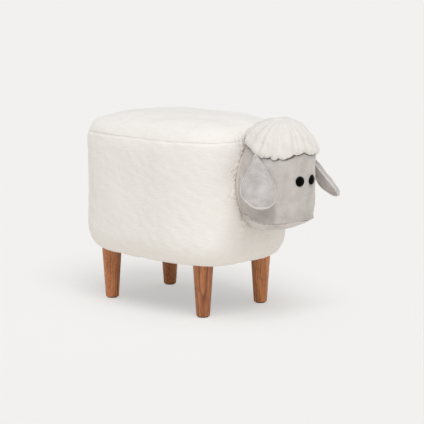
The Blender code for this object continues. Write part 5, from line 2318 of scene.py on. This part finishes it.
@dataclass
class Ear:
    """A stuffed velvet ear: a padded teardrop with a sewn edge, gathered at its root."""

    side: str
    sign: int
    carrier: Carrier
    root: Vector
    seed: int
    length: float = 0.126
    thickness: float = 0.0245
    root_share: float = 0.084
    front_edge: EarEdge = EarEdge(0.0904, 0.97, 0.376)
    rear_edge: EarEdge = EarEdge(0.172, 2.0, 0.85)
    pad_power: float = 0.75
    lens_power: float = 1.3
    splay: float = math.radians(27.5)
    rake: float = math.radians(29.2)
    twist: float = math.radians(61.9)
    columns: int = 168
    rows: int = 26
    bend: float = 0.0
    tuck: float = 0.0055
    tuck_reach: float = 0.006
    middle_share: float = 0.62
    edge_share: float = 0.962
    # Painted highlight towards the rim and on the sewn bead.
    rim_painted_highlight: float = 0.6
    edge_run: float = 0.02
    # Painted shade in the groove just inside the rim.
    edge_shade: float = 0.12
    groove_shade_ahead: float = 0.03
    groove_shade_width: float = 0.022
    # Painted shade near the root, standing in for the cap's shadow.
    root_shade: float = 0.0
    root_reach: float = 0.05
    bead: float = 0.0014
    groove: float = 0.001
    groove_share: float = 0.94
    groove_width: float = 0.022
    gather_depth: float = 0.001
    gather_reach: float = 0.03
    swell_depth: float = 0.0008
    swell_length: float = 0.028
    least: float = 0.0004

    def _ways(self) -> Array:
        """Unit directions down the ear, across its face and out of it.

        Returns:
            One row for each.
        """
        down = Vector((
            math.sin(self.splay),
            -math.cos(self.splay) * math.sin(self.rake),
            -math.cos(self.splay) * math.cos(self.rake),
        ))
        level = (Vector((1, 0, 0)) - down * down.x).normalized()
        out = Matrix.Rotation(self.twist, 3, down) @ level
        across = out.cross(down)
        return np.array([down, across, out]) * np.array([self.sign, 1, 1])

    def _half_width(self, share: Array) -> Array:
        """Half the ear's width at a share of its length."""
        return (self.rear_edge.at(share) + self.front_edge.at(share)) / 2

    def _middle(self, share: Array) -> Array:
        """How far across the ear's middle line lies: it leans towards the face."""
        return (self.rear_edge.at(share) - self.front_edge.at(share)) / 2

    def _half_thickness(self, share: Array, across: Array) -> Array:
        """Half the ear's thickness at a share of its length and of its half width.

        Args:
            share: Shares of the length.
            across: Shares of the half width.

        Returns:
            Distances.
        """
        angle = np.arccos(1 - 2 * np.clip(share, 0, 1))
        pad = np.sin(angle) ** self.pad_power * np.sin(angle / 2) ** (self.pad_power / 2)
        lens = np.clip(1 - across**2, 0, 1) ** (self.lens_power / 2)
        return self.thickness / 2 * pad * lens

    def _outline(self, turns: Array) -> Array:
        """The flat outline: down one side, round the tip and up the other, closed over the root.

        Args:
            turns: Places round it, in radians.

        Returns:
            Places down and across the ear.
        """
        share = 1 - np.abs(turns / math.pi - 1)
        run = self.root_share + (1 - self.root_share) * share
        side = np.where(turns < math.pi, 1, -1)
        wide = self._half_width(run) * side * np.clip(share / 0.012, 0, 1) ** 0.5
        return np.stack([self.length * (run - self.root_share), wide + self._middle(run)], axis=1)

    def build(self) -> None:
        """Make and dress the ear."""
        turns = even_turns(self._outline, self.columns)
        outline = self._outline(turns)
        across = float(self._middle(np.array(self.middle_share)))
        middle = np.array([self.length * (self.middle_share - self.root_share), across])
        shares = np.sin(np.linspace(0, QUARTER, self.rows + 1))[1:]
        fronts, backs = [], []
        edges, shades = [], []
        for share in shares:
            # Painted highlight growing towards the rim.
            mark = np.clip((share - self.edge_share) / self.edge_run, 0, self.rim_painted_highlight)
            edges.append(np.full(self.columns, mark))
            flat = middle + (outline - middle) * share
            # Painted shade in the groove inside the rim, and near the root.
            pressed = self.edge_shade * bell(share - self.edge_share + self.groove_shade_ahead, self.groove_shade_width)
            shades.append(pressed + self.root_shade * bell(flat[:, 0], self.root_reach))
            run = flat[:, 0] / self.length + self.root_share
            half = np.maximum(self._half_width(run), BARE)
            thick = self._half_thickness(run, (flat[:, 1] - self._middle(run)) / half)
            thick = np.maximum(thick, self.bead * 0.6 * (share > 0.9))
            groove = self.groove * bell(np.array(share - self.groove_share), self.groove_width)
            gather = self._gathers(flat)
            for rows, way, seed in ((fronts, 1, self.seed), (backs, -1, self.seed + 1)):
                spots = np.concatenate([flat, np.zeros((len(flat), 1))], axis=1)
                soft = self.swell_depth * ripple(spots, self.swell_length, seed) * (1 - share**4)
                height = np.maximum(thick + soft + gather * (1 - share**6) - groove, self.least)
                rows.append(np.concatenate([flat, (way * height)[:, None]], axis=1))
        rim = self._rim(outline, middle)
        flat_rows = [pole(fronts[0])] + fronts[:-1] + rim + backs[:-1][::-1] + [pole(backs[0])]
        ways = self._ways()
        rows = [self._bent(row) @ ways + np.array(self.root) for row in flat_rows]
        # The bead carries the painted highlight and no painted shade.
        bead = [np.full(self.columns, self.rim_painted_highlight) for _ in rim]
        marks = [np.zeros(1)] + edges[:-1] + bead + edges[:-1][::-1] + [np.zeros(1)]
        plain = [np.zeros(self.columns) for _ in rim]
        folds = [np.zeros(1)] + shades[:-1] + plain + shades[:-1][::-1] + [np.zeros(1)]
        mesh = lofted(f"ear_{self.side}_velvet", rows, {"edge": marks, "fold": folds}, closed=False)
        fit(f"ear_{self.side}_velvet", mesh, EAR_VELVET, [f"ear_{self.side}"], self.carrier)

    def _bent(self, points: Array) -> Array:
        """Points of the ear with its middle bowed towards the head and its root drawn out into the seam.

        Args:
            points: Places down, across and out of the ear.

        Returns:
            The moved points.
        """
        share = np.clip(points[:, 0] / self.length / (1 - self.root_share), 0, 1)
        result = points.copy()
        result[:, 0] -= self.tuck * bell(np.clip(points[:, 0], 0, None), self.tuck_reach)
        result[:, 2] -= 4 * self.bend * share * (1 - share)
        return result

    def _gathers(self, flat: Array) -> Array:
        """Small folds that run down from the root.

        Args:
            flat: Places down and across the ear.

        Returns:
            A height for each.
        """
        away = np.clip(flat[:, 0], 0, None)
        angle = np.arctan2(flat[:, 1], away + 0.012)
        return self.gather_depth * np.sin(angle * 17 + self.seed) * np.exp(-away / self.gather_reach)

    def _rim(self, outline: Array, middle: Array) -> Rows:
        """The thin sewn bead round the edge.

        Args:
            outline: The flat outline.
            middle: The point inside it.

        Returns:
            The rings.
        """
        rows = []
        inward = middle - outline
        inward /= np.linalg.norm(inward, axis=1, keepdims=True)
        for turn in np.linspace(0.5, math.pi - 0.5, 5):
            flat = outline + inward * self.bead * (1 - math.sin(turn))
            height = np.full((len(flat), 1), self.bead * math.cos(turn))
            rows.append(np.concatenate([flat, height], axis=1))
        return rows


@dataclass
class Legs:
    """Four turned legs with felt glides, and the bolts and tee nuts that hold them."""

    grain_turns: tuple[float, ...] = (0.6, 2.35, 4.1, 3.95)
    # The front left leg takes the lighter copy of the leg wood as painted light, the front right leg the
    # darker copy as painted shade.
    woods: tuple[Timber, ...] = (PAINTED_LIGHT_LEG_WOOD, PAINTED_SHADE_LEG_WOOD, LEG_WOOD, LEG_WOOD)
    foot_radius: float = 0.0138
    foot_round: float = 0.0016
    sides: int = 72

    def _profile(self, low: float, high: float, top_radius: float) -> list[tuple[float, float]]:
        """The leg's outline: a rounded foot, a straight taper and an eased top.

        Args:
            low: The foot's height.
            high: The top's height.
            top_radius: The radius there.

        Returns:
            Pairs of radius and height.
        """
        pairs = [(0.0, low), (self.foot_radius * 0.5, low)]
        for step in range(7):
            turn = QUARTER * step / 6
            radius = self.foot_radius - self.foot_round * (1 - math.sin(turn))
            pairs.append((radius, low + self.foot_round * (1 - math.cos(turn))))
        for share in np.linspace(0.1, 1, 12):
            radius = self.foot_radius + (top_radius - self.foot_radius) * share
            pairs.append((radius, low + self.foot_round + (high - low - self.foot_round) * share))
        return pairs + [(top_radius * 0.6, high), (0.0, high)]

    def build(self) -> None:
        """Make and dress the legs."""
        for corner, turn, wood in zip(CORNERS, self.grain_turns, self.woods):
            low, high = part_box("leg_" + corner)
            spot = ((low.x + high.x) / 2, (low.y + high.y) / 2, 0)
            top_radius = (high.x - low.x) / 2
            mesh = turned("turned_leg_" + corner, self._profile(low.z, high.z, top_radius), self.sides)
            fit("turned_leg_" + corner, mesh, wood, ["leg_" + corner], spot=spot, turn=(0, 0, turn))
            self._glide(corner, spot)
            dress("leg_bolt_" + corner, STEEL)
            dress("tee_nut_" + corner, STEEL)

    def _glide(self, corner: str, spot: Sequence[float]) -> None:
        """A round felt pad under the leg.

        Args:
            corner: The leg's corner.
            spot: The middle of its foot.
        """
        low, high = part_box("foot_glide_" + corner)
        radius = (high.x - low.x) / 2
        eased = 0.0005
        profile = [(0.0, 0.0), (radius - eased, 0.0), (radius - 0.3 * eased, 0.3 * eased), (radius, eased)]
        profile += [(radius, high.z - eased), (radius - eased, high.z), (0.0, high.z)]
        mesh = turned("felt_glide_" + corner, profile, self.sides)
        fit("felt_glide_" + corner, mesh, FELT, ["foot_glide_" + corner], spot=spot)


@dataclass
class BoxFrame:
    """The boards, blocks and fixings inside the body, which keep the frame's own forms."""

    finishes: dict[Finish, tuple[str, ...]] = field(
        default_factory=lambda: {
            PLY_FLAT: ("base_board", "seat_board"),
            PLY_FRONT: ("front_board", "rear_board", "head_board"),
            PLY_SIDE: ("left_board", "right_board"),
        }
    )
    sides: tuple[str, ...] = ("left", "right")

    def build(self) -> None:
        """Dress every hidden node."""
        for finish, nodes in self.finishes.items():
            for node in nodes:
                dress(node, finish)
        dress("head_block", PINE)
        for corner in CORNERS:
            dress("corner_block_" + corner, PINE)
            dress("seat_screw_" + corner, STEEL)
            dress("base_screw_" + corner, STEEL)
        for side in self.sides:
            for kind in ("head_bolt_", "head_washer_", "head_nut_"):
                dress(kind + side, STEEL)


@dataclass
class Studio:
    """A pale floor, soft light from above and in front, and the camera."""

    background: Colour = srgb(244, 243, 241)
    floor_colour: Colour = srgb(243, 242, 241)
    floor_bounce: Colour = srgb(252, 248, 242)
    floor_radius: float = 60.0
    floor_paleness: float = 0.5
    ambient: float = 0.5
    sun_strength: float = 1.72
    sun_azimuth: float = math.radians(-36)
    sun_elevation: float = math.radians(59)
    sun_width: float = math.radians(38)
    azimuth: float = math.radians(-47.42)
    elevation: float = math.radians(9.77)
    distance: float = 3.2217
    target: Place = (0.0374, 0.0208, 0.1874)
    lens: float = 130.75
    sensor: float = 36.0

    @staticmethod
    def _way(azimuth: float, elevation: float) -> Vector:
        """The direction from the object to a place round it."""
        level = math.cos(elevation)
        return Vector((math.sin(azimuth) * level, -math.cos(azimuth) * level, math.sin(elevation)))

    def _floor(self) -> None:
        """The floor, which can be seen through from below."""
        mesh = turned("floor", ((self.floor_radius, 0.0), (1.0, 0.0), (0.0, 0.0)), 64)
        material = bpy.data.materials.new("studio floor")
        material.use_nodes = True
        graph = Graph(material.node_tree)
        shader = material.node_tree.nodes["Principled BSDF"]
        shader.inputs["Roughness"].default_value = 1.0
        shader.inputs["Specular IOR Level"].default_value = 0.0
        clear = graph.add("ShaderNodeBsdfTransparent", {}).outputs[0]
        behind = graph.add("ShaderNodeNewGeometry", {}).outputs["Backfacing"]
        pale = graph.add("ShaderNodeEmission", {"Color": self.background, "Strength": 1.0}).outputs[0]
        viewed = graph.add("ShaderNodeLightPath", {}).outputs["Is Camera Ray"]
        graph.feed(shader.inputs["Base Color"], graph.mix(viewed, self.floor_bounce, self.floor_colour))
        softened = graph.maths("MULTIPLY", viewed, self.floor_paleness)
        lit = graph.add("ShaderNodeMixShader", {0: softened, 1: shader.outputs[0], 2: pale}).outputs[0]
        seen = graph.add("ShaderNodeMixShader", {0: behind, 1: lit, 2: clear})
        graph.feed(material.node_tree.nodes["Material Output"].inputs["Surface"], seen.outputs[0])
        mesh.materials.append(material)
        floor = placed("floor", mesh)
        if mesh.polygons[0].normal.z < 0:
            mesh.flip_normals()

    def _lights(self) -> None:
        """An even world and one wide sun."""
        world = bpy.data.worlds.new("studio")
        bpy.context.scene.world = world
        world.use_nodes = True
        graph = Graph(world.node_tree)
        light = world.node_tree.nodes["Background"]
        light.inputs["Color"].default_value = (1.0, 0.995, 0.985, 1.0)
        light.inputs["Strength"].default_value = self.ambient
        seen = graph.add("ShaderNodeBackground", {"Color": self.background, "Strength": 1.0})
        rays = graph.add("ShaderNodeLightPath", {}).outputs
        shows = graph.maths("MAXIMUM", rays["Is Camera Ray"], rays["Is Glossy Ray"])
        mixed = graph.add("ShaderNodeMixShader", {0: shows, 1: light.outputs[0], 2: seen.outputs[0]})
        graph.feed(world.node_tree.nodes["World Output"].inputs["Surface"], mixed.outputs[0])
        lamp = bpy.data.lights.new("soft sun", "SUN")
        lamp.energy = self.sun_strength
        lamp.angle = self.sun_width
        sun = placed("soft sun", lamp)
        way = self._way(self.sun_azimuth, self.sun_elevation)
        sun.rotation_euler = way.to_track_quat("Z", "Y").to_euler()

    def _camera(self) -> None:
        """A long lens from the photograph's side."""
        data = bpy.data.cameras.new("camera")
        data.lens = self.lens
        data.sensor_width = self.sensor
        data.clip_end = 2 * self.floor_radius
        camera = placed("camera", data)
        way = self._way(self.azimuth, self.elevation)
        camera.location = Vector(self.target) + way * self.distance
        camera.rotation_euler = way.to_track_quat("Z", "Y").to_euler()
        bpy.context.scene.camera = camera

    def build(self) -> None:
        """Set up floor, lights, camera and view."""
        self._floor()
        self._lights()
        self._camera()
        bpy.context.scene.view_settings.view_transform = "Standard"
        log.info("studio: floor, sun, world and camera")


def hinge(name: str) -> Vector:
    """Where a joint of the frame is."""
    joint = next(joint for joint in frame["joints"] if joint["name"] == name)
    return Vector(joint["pos_m"])


def main() -> None:
    """Build every sub-assembly round the frame."""
    logging.basicConfig(level=logging.INFO, format="%(name)s: %(message)s")
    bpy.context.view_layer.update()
    Studio().build()
    body = BodyForm.from_frame()
    head = HeadForm.from_frame(body)
    neck = head.neck_line()
    BodyCovers(body, neck).build()
    cap = WoolCap.from_frame(head)
    Head(head, neck, cap).build()
    cap.build()
    far = {"thickness": 0.0275, "splay": math.radians(22), "twist": math.radians(42), "bend": 0.0045}
    # The far ear gets painted shade near its root, standing in for the cap's shadow.
    Ear("left", 1, Carrier.LEFT_EAR, hinge("left_ear_lift"), 51, root_shade=0.35, **far).build()
    Ear("right", -1, Carrier.RIGHT_EAR, hinge("right_ear_lift"), 61).build()
    Legs().build()
    BoxFrame().build()


if __name__ == "__main__":
    main()
